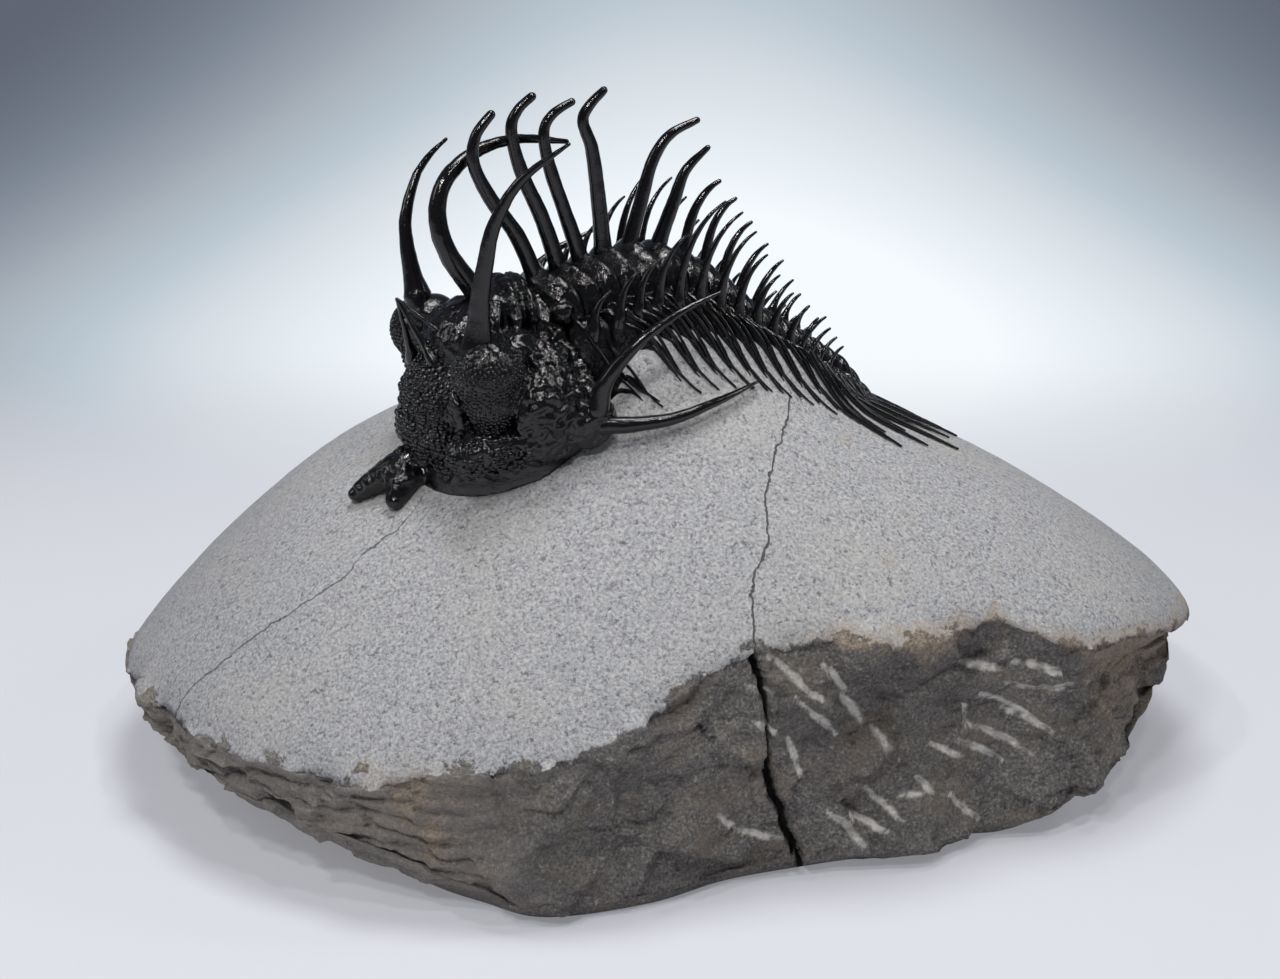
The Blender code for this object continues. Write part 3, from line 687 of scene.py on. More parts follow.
def tool_marks(points, broken_front):
    """The pen's grooves, and the chalky dust in and around them."""
    across = points[..., 0] + 0.5 * wander(points, 3.0, 67)
    upward = points[..., 2] + 0.5 * wander(points, 3.0, 69)
    distance, place = mark_distance(across, upward, TOOL_MARKS)
    slim = 0.14 + 0.30 * np.sin(math.pi * np.clip(place, 0.05, 0.95)) ** 0.7
    groove = broken_front * bell(distance, 0, slim * 0.5)
    dust = 0.55 * rise(distance, 1.5, 0) + 0.75 * np.clip(1.15 - distance / (slim * 1.2), 0, 1)
    patchy = np.clip(0.95 + 0.5 * wander(points, 1.0, 73, 2), 0, 1.1)
    return groove, broken_front * dust * patchy


def crust_values(x, z, below, at_front):
    """Where the tan crust shows: a band under the rim, wider to the right, and two patches on the left."""
    band = 0.22 + 1.1 * bell(x, 27, 10) + 0.9 * rise(x, 38, 46)
    depth = 1.5 + 2.2 * rise(band, 0.5, 1.5) + 9 * rise(x, 44, 50)
    crust = np.clip(band * np.exp(-np.maximum(below, 0) / depth), 0, 1)
    for middle_x, wide, middle_z, high, strength in CRUST_PATCHES:
        patch = bell(x, middle_x, wide) * bell(z, middle_z, high) * at_front
        crust = np.maximum(crust, strength * patch)
    return crust


def grid_faces(rows, count):
    """Faces between neighbouring rows of points, where each row runs round and closes."""
    faces = []
    for here in range(0, (rows - 1) * count, count):
        above = here + count
        for k in range(count):
            n = (k + 1) % count
            faces.append((here + k, here + n, above + n, above + k))
    return faces


def build_block():
    points, below = stone_rows(stone_columns())
    normal = grid_normals(points)
    x, y, z = points[..., 0], points[..., 1], points[..., 2]
    side = rise(below, -1.2, 1.2)
    at_front = rise(y, -15, -20)
    groove, chalk = tool_marks(points, at_front * side)
    from_crack = x - read_table(CRACK_LINE, z) - 0.25 * wander(points, 2.2, 83)
    gape = np.abs(from_crack) / read_table(CRACK_WIDTH, z) * 2
    crack = at_front * rise(below, 0, 0.3) * rise(gape, 1.25, 0.75)

    calm_rim = 1 - 0.8 * rise(x, 38, 46) * rise(below, 5, 0)
    push = side * calm_rim * rise(z, 0, 1.2) * (broken_relief(points, normal, at_front) - 0.35)
    push -= 2.0 * rise(x, 43, 50) * bell(below, 6, 4.5)
    push -= MARK_DEPTH * groove + CRACK_DEPTH * crack
    dome = rise(below, 0, -0.6)
    push += dome * (0.16 * wander(points, 9, 91) + 0.05 * wander(points, 1.1, 97, 2))
    moved = points + normal * push[..., None]
    crumbled = 0.6 * soft_chips(points, 3.2, 101) + 0.35 * wander(points, 1.4, 103) + 0.1
    moved[..., 2] -= np.exp(-np.abs(below) / RIM_ROUNDING) * np.clip(crumbled, -0.2, 1)
    moved[..., 2] = np.where(z <= 0, 0, np.maximum(moved[..., 2], 0.05 * rise(z, 0, 2.5)))

    rows, count = points.shape[:2]
    flat = [*moved.reshape(-1, 3), (0, 0, moved[-1, :, 2].mean() + 0.02), (0, 0, 0)]
    faces = grid_faces(rows, count)
    peak = len(flat) - 2
    last = (rows - 1) * count
    for k in range(count):
        n = (k + 1) % count
        faces.append((last + k, last + n, peak))
        faces.append((n, k, peak + 1))
    block = mesh_piece("block_of_limestone", flat, faces, limestone)
    kept = {
        "broken": rise(below, -2.3, 2.7), "crust": crust_values(x, z, below, at_front), "chalk": chalk,
        # The gaping crack is kept as well, so that the material paints its inside with near-black shade.
        "crack_shade": crack,
    }
    for name, values in kept.items():
        write_values(block.data, name, np.concatenate([values.ravel(), (0.0, 0.0)]))
    return block


block = build_block()
print(block.name, "has", triangle_count(block.data), "triangles in", len(stone_columns()), "columns")

# %% [markdown]
# ## How spines are grown
#
# Every spine is a line of points with a thickness at each. A node tree turns the lines into tubes that
# taper, gives them a slightly lumpy skin, and closes both ends. The same tree grows the great back spines,
# the horns on the eyes and the hair-thin tips that trail over the stone. A second tree strews grains over a
# surface, as many as a value kept on its points allows. It makes the warts of the front lobe and the lenses
# of the eyes.

# %% Node trees for spines and grains
# Grains to the square metre where nothing thins them out. The distance between them is what limits them
DENSEST_GRAINS = 3.0e7


def new_tree(name, inputs):
    tree = bpy.data.node_groups.new(name, "GeometryNodeTree")
    tree.interface.new_socket("Geometry", in_out="INPUT", socket_type="NodeSocketGeometry")
    for title, kind in inputs:
        tree.interface.new_socket(title, in_out="INPUT", socket_type="NodeSocket" + kind)
    tree.interface.new_socket("Geometry", in_out="OUTPUT", socket_type="NodeSocketGeometry")
    return tree, tree.nodes.new("NodeGroupInput").outputs, tree.nodes.new("NodeGroupOutput")


def finish_tree(tree, made, finish, result):
    """The last nodes of both trees: plain smooth geometry with its finish."""
    plain = add_node(tree, "GeometryNodeRealizeInstances", {"Geometry": made})
    soft = add_node(tree, "GeometryNodeSetShadeSmooth", {"Geometry": plain.outputs[0]})
    done = add_node(tree, "GeometryNodeSetMaterial", {"Geometry": soft.outputs[0], "Material": finish})
    tree.links.new(done.outputs[0], result.inputs[0])


def point_value(tree, name):
    named = add_node(tree, "GeometryNodeInputNamedAttribute", {"Name": name}, data_type="FLOAT")
    return named.outputs["Attribute"]


def make_spine_tree():
    tree, given, result = new_tree(
        "spines along drawn lines",
        (("Sides", "Int"), ("Lump Height", "Float"), ("Lumps per Metre", "Float"), ("Finish", "Material")),
    )
    curve = add_node(tree, "GeometryNodeMeshToCurve", {"Mesh": given["Geometry"]})
    circle = add_node(
        tree, "GeometryNodeCurvePrimitiveCircle", {"Resolution": given["Sides"], "Radius": 1.0}
    )
    tube = add_node(
        tree, "GeometryNodeCurveToMesh",
        {
            "Curve": curve.outputs["Curve"], "Profile Curve": circle.outputs["Curve"],
            "Scale": point_value(tree, "thickness"), "Fill Caps": True,
        },
    )
    place = add_node(tree, "GeometryNodeInputPosition").outputs[0]
    noise = {"Vector": place, "Scale": given["Lumps per Metre"], "Detail": 2.0}
    lumps = add_node(tree, "ShaderNodeTexNoise", noise).outputs["Fac"]
    height = maths(tree, "MULTIPLY", maths(tree, "SUBTRACT", lumps, 0.5), given["Lump Height"])
    normal = add_node(tree, "GeometryNodeInputNormal").outputs[0]
    pushed = {"Geometry": tube.outputs["Mesh"], "Offset": scaled(tree, normal, height)}
    moved = add_node(tree, "GeometryNodeSetPosition", pushed)
    finish_tree(tree, moved.outputs[0], given["Finish"], result)
    return tree


def make_grain_tree():
    tree, given, result = new_tree(
        "grains over a surface",
        (
            ("Apart", "Float"), ("Radius", "Float"), ("Flatness", "Float"), ("Size Spread", "Float"),
            ("Seed", "Int"), ("Finish", "Material"),
        ),
    )
    points = add_node(
        tree, "GeometryNodeDistributePointsOnFaces",
        {
            "Mesh": given["Geometry"], "Distance Min": given["Apart"], "Density Max": DENSEST_GRAINS,
            "Density Factor": point_value(tree, "grains"), "Seed": given["Seed"],
        },
        distribute_method="POISSON",
    )
    ball = add_node(
        tree, "GeometryNodeMeshUVSphere", {"Segments": 8, "Rings": 5, "Radius": given["Radius"]}
    )
    smallest = maths(tree, "SUBTRACT", 1.0, given["Size Spread"])
    largest = maths(tree, "ADD", 1.0, given["Size Spread"])
    size = add_node(
        tree, "FunctionNodeRandomValue", {"Min_001": smallest, "Max_001": largest, "Seed": given["Seed"]},
        data_type="FLOAT",
    )
    squash = add_node(tree, "ShaderNodeCombineXYZ", {0: 1.0, 1: 1.0, 2: given["Flatness"]}).outputs[0]
    copies = add_node(
        tree, "GeometryNodeInstanceOnPoints",
        {
            "Points": points.outputs["Points"], "Instance": ball.outputs["Mesh"],
            "Rotation": points.outputs["Rotation"],
            "Scale": scaled(tree, squash, find_socket(size.outputs, "Value_001")),
        },
    )
    finish_tree(tree, copies.outputs[0], given["Finish"], result)
    return tree


def run_tree(name, mesh, tree, values):
    """The plain mesh that a node tree makes from a mesh. Its inputs are set before it first runs."""
    piece = bpy.data.objects.new(name, mesh)
    bpy.context.scene.collection.objects.link(piece)
    grower = piece.modifiers.new("Grow", "NODES")
    grower.node_group = tree
    for socket in tree.interface.items_tree:
        if socket.in_out == "INPUT" and socket.name in values:
            grower[socket.identifier] = values[socket.name]
    graph = bpy.context.evaluated_depsgraph_get()
    made = bpy.data.meshes.new_from_object(piece.evaluated_get(graph))
    piece.modifiers.remove(grower)
    piece.data = made
    piece.data.name = name
    bpy.data.meshes.remove(mesh)
    return piece


def join_pieces(name, parts):
    """One object from several, each keeping its own finish."""
    first = parts[0]
    if len(parts) > 1:
        with bpy.context.temp_override(active_object=first, selected_editable_objects=parts):
            bpy.ops.object.join()
    first.name = name
    first.data.name = name
    return first


spine_tree = make_spine_tree()
grain_tree = make_grain_tree()
print("made the trees", spine_tree.name, "and", grain_tree.name)

# %% [markdown]
# ## Drawing the spines' lines
#
# The paths are the solid's own, given along, across and above the animal. A smooth curve runs through each
# path's points. Thickness falls from root to tip, swells where the spine grows out of the shell, and rounds
# off over the last bit, because most of the real tips are blunt rather than needle-sharp.

# %% Lines with thickness
# Distances from a spine's tip, in millimetres, that get points of their own so that the tip is round
TIP_POINTS = (0.04, 0.1, 0.2, 0.32, 0.5)


def unit(vector):
    return vector / max(np.linalg.norm(vector), 1e-9)


def smooth_through(places, spacing):
    """Evenly spaced points on a smooth curve through the given ones."""
    places = np.array(places, float)
    ends = np.vstack([2 * places[0] - places[1], places, 2 * places[-1] - places[-2]])
    u = np.linspace(0, 1, 14, endpoint=False)[:, None]
    line = []
    for a, b, c, d in zip(ends, ends[1:], ends[2:], ends[3:]):
        line.append(catmull(a, b, c, d, u))
    line = np.vstack(line + [places[-1:]])
    run = np.concatenate([[0], np.cumsum(np.linalg.norm(np.diff(line, axis=0), axis=1))])
    wanted = np.linspace(0, run[-1], max(int(run[-1] / spacing), 6))
    wanted = np.unique(np.concatenate([wanted, run[-1] - np.array(TIP_POINTS)]))
    wanted = wanted[wanted >= 0]
    return np.stack([np.interp(wanted, run, line[:, k]) for k in range(3)], axis=1), wanted


def draw_spine(path, root, tip, flare=1.5, sink=1.0, reach=1.2, spacing=0.35, late=1.3):
    """A line on the block and its thickness. The root goes sink millimetres into the shell.

    flare widens the root over a length of reach times its radius. A high late keeps it thick for longer.
    """
    path = np.array([tuple(place) for place in path], float)
    path = np.vstack([path[0] + unit(path[0] - path[1]) * sink, path])
    places, run = smooth_through(on_block(path[:, 0], path[:, 1], path[:, 2]), spacing)
    whole = run[-1]
    radius = root + (tip - root) * (run / whole) ** late
    radius = radius * (1 + (flare - 1) * np.exp(-np.maximum(run - sink, 0) / (reach * root)))
    end = np.clip((run - (whole - tip)) / tip, 0, 1)
    return places, radius * np.sqrt(np.maximum(1 - end**2, 0.03))


def bent_path(root, length, lean, turn, late, spread=0.0, steps=8):
    """A spine that leaves the back at a lean from upright and bends backwards, later if late is high."""
    s, t, z = root
    points = [(s, t, z)]
    side = math.sin(math.radians(spread))
    level = math.cos(math.radians(spread))
    for k in range(steps):
        angle = math.radians(lean + turn * ((k + 0.5) / steps) ** late)
        s += length / steps * math.sin(angle) * level
        t += length / steps * side
        z += length / steps * math.cos(angle) * level
        points.append((s, t, z))
    return points


def grow_spines(name, spines, finish, sides=12, lump=0.05, lump_size=0.9):
    """Tubes along all the lines of a piece."""
    points = np.vstack([line for line, _ in spines])
    edges = []
    start = 0
    for line, _ in spines:
        edges += [(start + k, start + k + 1) for k in range(len(line) - 1)]
        start += len(line)
    mesh = bpy.data.meshes.new(name)
    mesh.from_pydata((points * MM).tolist(), edges, [])
    write_values(mesh, "thickness", np.concatenate([radius for _, radius in spines]) * MM)
    values = {
        "Sides": sides, "Lump Height": lump * 2 * MM, "Lumps per Metre": 1 / (lump_size * MM),
        "Finish": finish,
    }
    return run_tree(name, mesh, spine_tree, values)


trial, thickness = draw_spine([(0, 0, 60), (1, 0, 64), (4, 0, 68)], 0.8, 0.3)
print("a trial spine has", len(trial), "points and ends", round(float(thickness[-1]), 3), "mm thick")

# %% [markdown]
# ## The back
#
# The solid's back is a table of heights along the midline, with an arched ring in the middle and a flank
# falling to the stone on each side. The joints between segments bend backwards towards the edge. Here they
# bend more strongly low on the flank, where the real ribs sweep back before they reach the stone.

# %% Sizes of the animal
BACK_LINE = (
    (-31, 43), (-29, 50.5), (-26.5, 52), (-22, 56), (-19.5, 58.4), (-16.5, 59.0), (-12, 59.8),
    (-6, 61.0), (-2, 61.2), (2, 60.2), (6, 57.9), (9, 55.4), (12, 52.8), (16, 50.2),
    (20, 47.4), (24, 44.4), (28, 41.4), (38, 36.0),
)
AXIS_JOINTS = (-15.3, -12.7, -10.2, -7.7, -5.0, -1.7, 1.6, 4.4, 6.7, 8.8, 10.8, 12.8)
SEGMENTS = 11
EDGE_FRONT = -9.6
EDGE_PITCH = 2.0
EDGE_REACH = 9.8
RING_RISE = 3.6
RING_HALF_WIDTH = ((-20, 5.3), (-10, 5.3), (2, 4.6), (12, 3.6), (20, 2.6), (26, 1.6))
RIB_REACH = 11.6
RIB_SWEEP = 2.5
HEAD_CORNER = -11.4
MORE_SWEEP = 0.25
HEAD_SWEEP = 0.5
SWEEP_START = 6.0
# Half of the gap between neighbouring plates
JOINT_GAP = 0.06


def rounded_table(table):
    """A short table of places and heights with its corners rounded."""
    line, _ = smooth_through([(a, b, 0) for a, b in table], 0.4)
    return tuple((row[0], row[1]) for row in line)


BACK_CURVE = rounded_table(BACK_LINE)


def back_height(s, t, reach=RIB_REACH):
    middle = read_table(BACK_CURVE, s)
    half = read_table(RING_HALF_WIDTH, s)
    shoulder = middle - RING_RISE * half / 5.0
    across = np.abs(t)
    ring = shoulder + (middle - shoulder) * np.sqrt(np.clip(1 - (across / half) ** 2, 0, 1))
    edge = ground(s, t) + 0.55
    share = rise(across, half, reach)
    flank = edge + (shoulder - 0.2 - edge) * (1 - share**1.9) ** 1.25
    return np.where(across <= half, ring, flank)


def joint_line(number, t):
    """Place along the animal of the joint in front of a segment."""
    axis = AXIS_JOINTS[number]
    edge = EDGE_FRONT + EDGE_PITCH * number if number else HEAD_CORNER
    across = np.abs(t)
    sweep = RIB_SWEEP + MORE_SWEEP * number if number else HEAD_SWEEP
    low = np.clip((across - SWEEP_START) / (RIB_REACH - SWEEP_START), 0, 1.2)
    return axis + (edge - axis) * (across / EDGE_REACH) ** 1.4 + sweep * low**1.5


print("height of the back above the neck ring:", round(float(read_table(BACK_CURVE, -16.0)), 1), "mm")

# %% [markdown]
# ## Thorax segments
#
# A living trilobite's segment is a hoop: a swollen ring over the middle, and on each flank a rib with two
# thin crests and a furrow between. Low down each rib narrows to a finger that lies on the stone and ends in
# a trailing spine. A segment here is one closed skin, made of sections that stand side by side from one tip
# to the other. Each section runs over the top from front to back and returns underneath.

# %% Segments
BACK_SPINES = (
    # Great ones: root and tip radius, and the path along and above the animal
    (0.88, 0.46, (-14.0, 58.0), (-16.0, 63.0), (-18.9, 67.3), (-20.7, 71.1), (-20.4, 74.0), (-18.4, 76.4)),
    (0.88, 0.44, (-11.4, 58.9), (-13.2, 64.6), (-15.4, 69.6), (-16.5, 74.0), (-15.8, 76.2), (-13.8, 77.8)),
    (0.84, 0.40, (-8.9, 59.8), (-10.7, 65.2), (-12.3, 70.0), (-12.9, 73.6), (-11.9, 75.5), (-9.4, 76.8)),
    (0.86, 0.42, (-6.3, 60.4), (-6.8, 66.0), (-7.5, 71.4), (-8.5, 74.4), (-7.8, 76.0), (-5.8, 77.8)),
    (0.80, 0.36, (-3.3, 60.6), (-1.8, 65.6), (-0.5, 69.6), (1.5, 72.2), (5.0, 73.6)),
    (0.80, 0.28, (0.1, 60.2), (2.0, 65.0), (3.4, 68.2), (6.2, 70.6)),
    # Small ones: length, lean, turn, where the turn comes, root and tip radius
    (8.8, 10, 60, 1.8, 0.58, 0.24),
    (8.0, 8, 62, 1.8, 0.52, 0.20),
    (6.8, 12, 54, 1.6, 0.48, 0.17),
    (6.0, 18, 48, 1.5, 0.44, 0.15),
    (5.6, 22, 40, 1.4, 0.40, 0.14),
)
GREAT_SPINES = 6
# Lengths from the front segment to the last
FLANK_SPINES = (4.5, 5.5, 6.0, 8.5, 12.0, 11.0, 9.4, 7.6, 6.4, 5.6, 5.0)
EDGE_SPINES = (3.0, 3.2, 3.4, 3.6, 3.8, 4.0, 4.4, 5.0, 5.8, 6.6, 7.2)
FLANK_PLACE = 7.4
FINGER_START = 7.6
EDGE_SPINE_ANGLE = 28.0
SECTIONS = 210
TOP_POINTS = 27
UNDER_POINTS = 4
# The two crests of a rib: share of the segment's length, and radius
RIB_CRESTS = ((0.22, 0.25), (0.78, 0.31))


def finger_width(across, number):
    """Share of a segment's length that its rib still takes, this far from the midline."""
    finger = rise(across, FINGER_START, RIB_REACH)
    width = 1 - 0.58 * finger**0.7
    if number == 0:
        width = width * (1 - 0.5 * np.clip(finger * 4, 0, 1))
    return width


def ring_relief(u, seen):
    """The swollen ring, from its front edge where u is 0 to its back edge where u is 1."""
    ring = 1.15 * np.maximum(np.sin(math.pi * u**1.35), 0) ** 0.55 - 1.05
    return ring + 0.16 * wander(seen, 1.6, 301, 2)


def rib_relief(u, seen, number):
    """Two crests with a furrow between them, crumpled a little differently on each segment."""
    edges = 0.9 * (np.abs(u - 0.5) * 2) ** 8
    rib = 1.0 * bell(u, 0.25, 0.15) + 1.25 * bell(u, 0.70, 0.17) - 1.05 - edges
    inner = np.clip(1.2 - 2 * np.abs(u - 0.5), 0, 1)
    rib = rib + 0.42 * wander(seen + (0, 0, 9.0 * number), 1.7, 201 + number, 2) * inner
    return rib + 0.22 * ridges(seen + (0, 0, 5.0 * number), 1.0, 231, 2) - 0.1


def segment_top(number, u, s, t):
    """Heights of a segment's upper side. On the stone its rib is down to two thin crests."""
    out = np.abs(t)
    half = read_table(RING_HALF_WIDTH, s)
    back = back_height(s, t)
    stone = ground(s, t)
    seen = on_block(s, t, back)
    on_ring = soft_step(out, half - 0.1, -0.22)
    furrow = 0.95 * bell(out, half + 0.25, 0.65) * (1 - 0.4 * on_ring)
    swelling = 0.5 * bell(out, FLANK_PLACE - 0.3, 1.0) * bell(u, 0.55, 0.3)
    rib = rib_relief(u, seen, number) * (1 - 0.35 * rise(out, 9.4, 11.4)) + swelling
    relief = on_ring * ring_relief(u, seen) + (1 - on_ring) * rib - furrow
    z = np.maximum(back + relief, stone + 0.12)
    thin = np.maximum(bell(u, 0.22, 0.11), bell(u, 0.78, 0.12))
    low_crests = stone + thin * (0.55 - 0.30 * rise(out, 9.4, 11.6)) - 0.3 * (1 - thin)
    last = rise(out, 8.0, 9.7)
    return (1 - last) * z + last * low_crests


def segment_skin(number):
    """Points of a segment's sections, as a grid of sections by points round each."""
    across = RIB_REACH * np.linspace(-1, 1, SECTIONS)[:, None]
    front = joint_line(number, across) + JOINT_GAP
    back = joint_line(number + 1, across) - JOINT_GAP
    width = finger_width(np.abs(across), number)

    def spread(u):
        return front + (back - front) * (0.5 + (u - 0.5) * width)

    u = np.linspace(0, 1, TOP_POINTS)[None, :] * np.ones((SECTIONS, 1))
    t = across * np.ones((1, TOP_POINTS))
    s = spread(u)
    top = on_block(s, t, segment_top(number, u, s, t))
    under_s = spread(np.linspace(1, 0, UNDER_POINTS)[None, :])
    under_t = across * np.ones((1, UNDER_POINTS))
    under = on_block(under_s, under_t, ground(under_s, under_t) - 0.6)
    return np.concatenate([top, under], axis=1)


def close_sections(sections):
    """Points and faces of the skin over sections, with both ends closed."""
    rows, count = sections.shape[:2]
    faces = grid_faces(rows, count)
    faces.append(tuple(range(count)))
    faces.append(tuple(range((rows - 1) * count, rows * count)))
    return sections.reshape(-1, 3), faces


def rib_tip_path(s, t, length, angle, side, lift=0.45, steps=7):
    """A finger that leaves the edge and trails back on the stone."""
    lean = math.radians(angle)
    path = [(s - 1.0, side * (t - 0.9), float(ground(s - 1.0, side * (t - 0.9))) + lift + 0.35)]
    for k in range(steps + 1):
        run = length * k / steps
        here_s = s + run * math.cos(lean)
        here_t = t + run * math.sin(lean)
        droop = lift * (1 - 0.6 * (k / steps))
        path.append((here_s, side * here_t, float(ground(here_s, side * here_t)) + droop))
    return path


def back_spine(number, s):
    """Path and radii of a segment's midline spine. s is the place of its ring."""
    if number < GREAT_SPINES:
        root, tip, *path = BACK_SPINES[number]
        foot = (path[0][0], path[0][1] - 1.8)
        return [(a, 0.0, z) for a, z in (foot, *path)], root, tip
    length, lean, turn, late, root, tip = BACK_SPINES[number]
    z = float(back_height(s, 0.0))
    return [(s, 0.0, z - 1.4)] + bent_path((s, 0.0, z), length, lean, turn, late), root, tip


def rib_crests(number, side):
    """Two thin beaded crests that run down a rib, from the flank spine to its tip on the stone."""
    crests = []
    for share, thick in RIB_CRESTS:
        t = np.linspace(5.9, RIB_REACH + (0.9 if share > 0.5 else -0.2), 30)
        closing = rise(t, FINGER_START, RIB_REACH)
        front = joint_line(number, t)
        back = joint_line(number + 1, t)
        s = front + (back - front) * (0.5 + (share - 0.5) * finger_width(t, number))
        stone = ground(s, t * side)
        z = np.maximum(back_height(s, t * side), stone + 0.4) + 0.1
        z = (1 - closing) * z + closing * (stone + 0.22) - 0.7 * rise(t, 7.0, 5.9)
        line = on_block(s, t * side, z)
        radius = thick * (1 - 0.62 * closing) * np.clip((t - 5.7) / 0.8, 0.3, 1)
        crests.append((line, radius * (1 + 0.5 * wander(line, 0.8, 260 + number, 2))))
    return crests


def build_segment(number):
    name = f"thorax_hoop_{number + 1:02d}"
    points, faces = close_sections(segment_skin(number))
    plate = mesh_piece(name, points, faces, shell)

    def middle(t, share=0.5):
        front = float(joint_line(number, t))
        return front + (float(joint_line(number + 1, t)) - front) * share

    path, root, tip = back_spine(number, middle(0.0, 0.6))
    line, radius = draw_spine(path, root, tip, flare=1.5, sink=0.2, reach=2.4, spacing=0.3, late=2.4)
    spines = [(line, radius * (1 + 0.05 * wander(line, 2.4, 400 + number, 2)))]
    for side in (-1, 1):
        t = side * FLANK_PLACE
        s = middle(t)
        path = bent_path((s, t, float(back_height(s, t)) - 0.2), FLANK_SPINES[number], 4, 56, 1.6, 6 * side)
        spines.append(draw_spine(path, 0.54, 0.13, flare=1.7, sink=1.2, reach=2.0))
        spines += rib_crests(number, side)
        edge = RIB_REACH - 0.4
        length = EDGE_SPINES[number] * 0.8 - 0.4
        path = rib_tip_path(middle(edge), edge, length, EDGE_SPINE_ANGLE, side)
        spines.append(draw_spine(path, 0.24, 0.08, flare=1.0, sink=0.1, spacing=0.4))
    tubes = grow_spines(name + "_spines", spines, spine_shell)
    return join_pieces(name, [plate, tubes])


pieces = {block: "matrix"}
segments = [build_segment(number) for number in range(SEGMENTS)]
for number, piece in enumerate(segments):
    pieces[piece] = f"thorax_segment_{number + 1:02d}"
print("eleven segments,", triangle_count(segments[0].data), "triangles in the first")

# %% [markdown]
# ## The tail shield
#
# The tail is one plate made of segments that never came apart: a narrow ridge of rings down the middle, and
# ribs that sweep back more and more until the last ones run straight behind. Small spines stand upright on
# it, and long ones trail from its edge over the stone. The skin is made of sections, now front to back.

# %% Tail
TAIL_END = 28.0
TAIL_TAPER = 5.0
TAIL_SPINES = (4.4, 3.4, 2.8, 2.2)
TAIL_SPINE_PITCH = 1.55
TAIL_EDGE_SPINES = (9.0, 10.5, 11.3, 11.0, 10.0)
# Where the first of them leaves the edge, and how far behind it the last one does
TAIL_EDGE_START = 14.6
TAIL_EDGE_LENGTH = 11.2
TAIL_ROWS = 170
TAIL_POINTS = 121


def tail_edge(s):
    """Half width of the tail, which narrows to a rounded end."""
    share = rise(s, EDGE_FRONT + EDGE_PITCH * SEGMENTS, TAIL_END)
    return 1.2 + (RIB_REACH - 1.4) * (1 - share**1.6) ** 0.8


def tail_height(s, t, reach):
    """Height of the tail, which sinks into the stone at its end."""
    stone = ground(s, t)
    standing = rise(s, TAIL_END + 0.2, TAIL_END + 0.2 - TAIL_TAPER) ** 0.75
    return stone + (back_height(s, t, reach) - stone) * standing


def tail_relief(s, across, half, seen):
    """Rings down the middle and swept ribs beside them, which fade out at the end."""
    behind = s - AXIS_JOINTS[-1]
    ring = 0.75 * np.abs(np.sin(math.pi * behind / TAIL_SPINE_PITCH)) ** 0.6 - 0.75
    swept = 0.55 * np.maximum(across - half, 0) ** 1.25
    rib = 1.0 * np.abs(np.sin(math.pi * (behind - swept) / TAIL_SPINE_PITCH)) ** 0.7 - 0.8
    rib = rib + 0.28 * wander(seen, 1.2, 501, 2)
    on_ring = soft_step(across, half - 0.1, -0.2)
    furrow = 0.6 * bell(across, half + 0.2, 0.5)
    relief = on_ring * ring + (1 - on_ring) * rib - furrow
    return relief * np.clip((TAIL_END + 0.5 - s) / 3, 0.2, 1)


def tail_skin():
    spread = np.linspace(-1, 1, TAIL_POINTS)
    spread = spread + 0.1 * np.sin(math.pi * spread) / math.pi
    share = np.linspace(0, 1, TAIL_ROWS)[:, None]

    def places(u):
        front = joint_line(SEGMENTS, u * RIB_REACH) + JOINT_GAP
        s = front + (TAIL_END - front) * share
        return s, u * tail_edge(s)

    s, t = places(spread[None, :] * np.ones((TAIL_ROWS, 1)))
    half = read_table(RING_HALF_WIDTH, s)
    height = tail_height(s, t, np.maximum(tail_edge(s), half + 1.0))
    relief = tail_relief(s, np.abs(t), half, on_block(s, t, height)) * (0.6 + 0.4 * rise(share, 0, 0.03))
    top = on_block(s, t, np.maximum(height + relief, ground(s, t) + 0.15))
    under_s, under_t = places(np.linspace(1, -1, 9)[None, :] * np.ones((TAIL_ROWS, 1)))
    under = on_block(under_s, under_t, ground(under_s, under_t) - 0.25)
    return np.concatenate([top, under], axis=1)


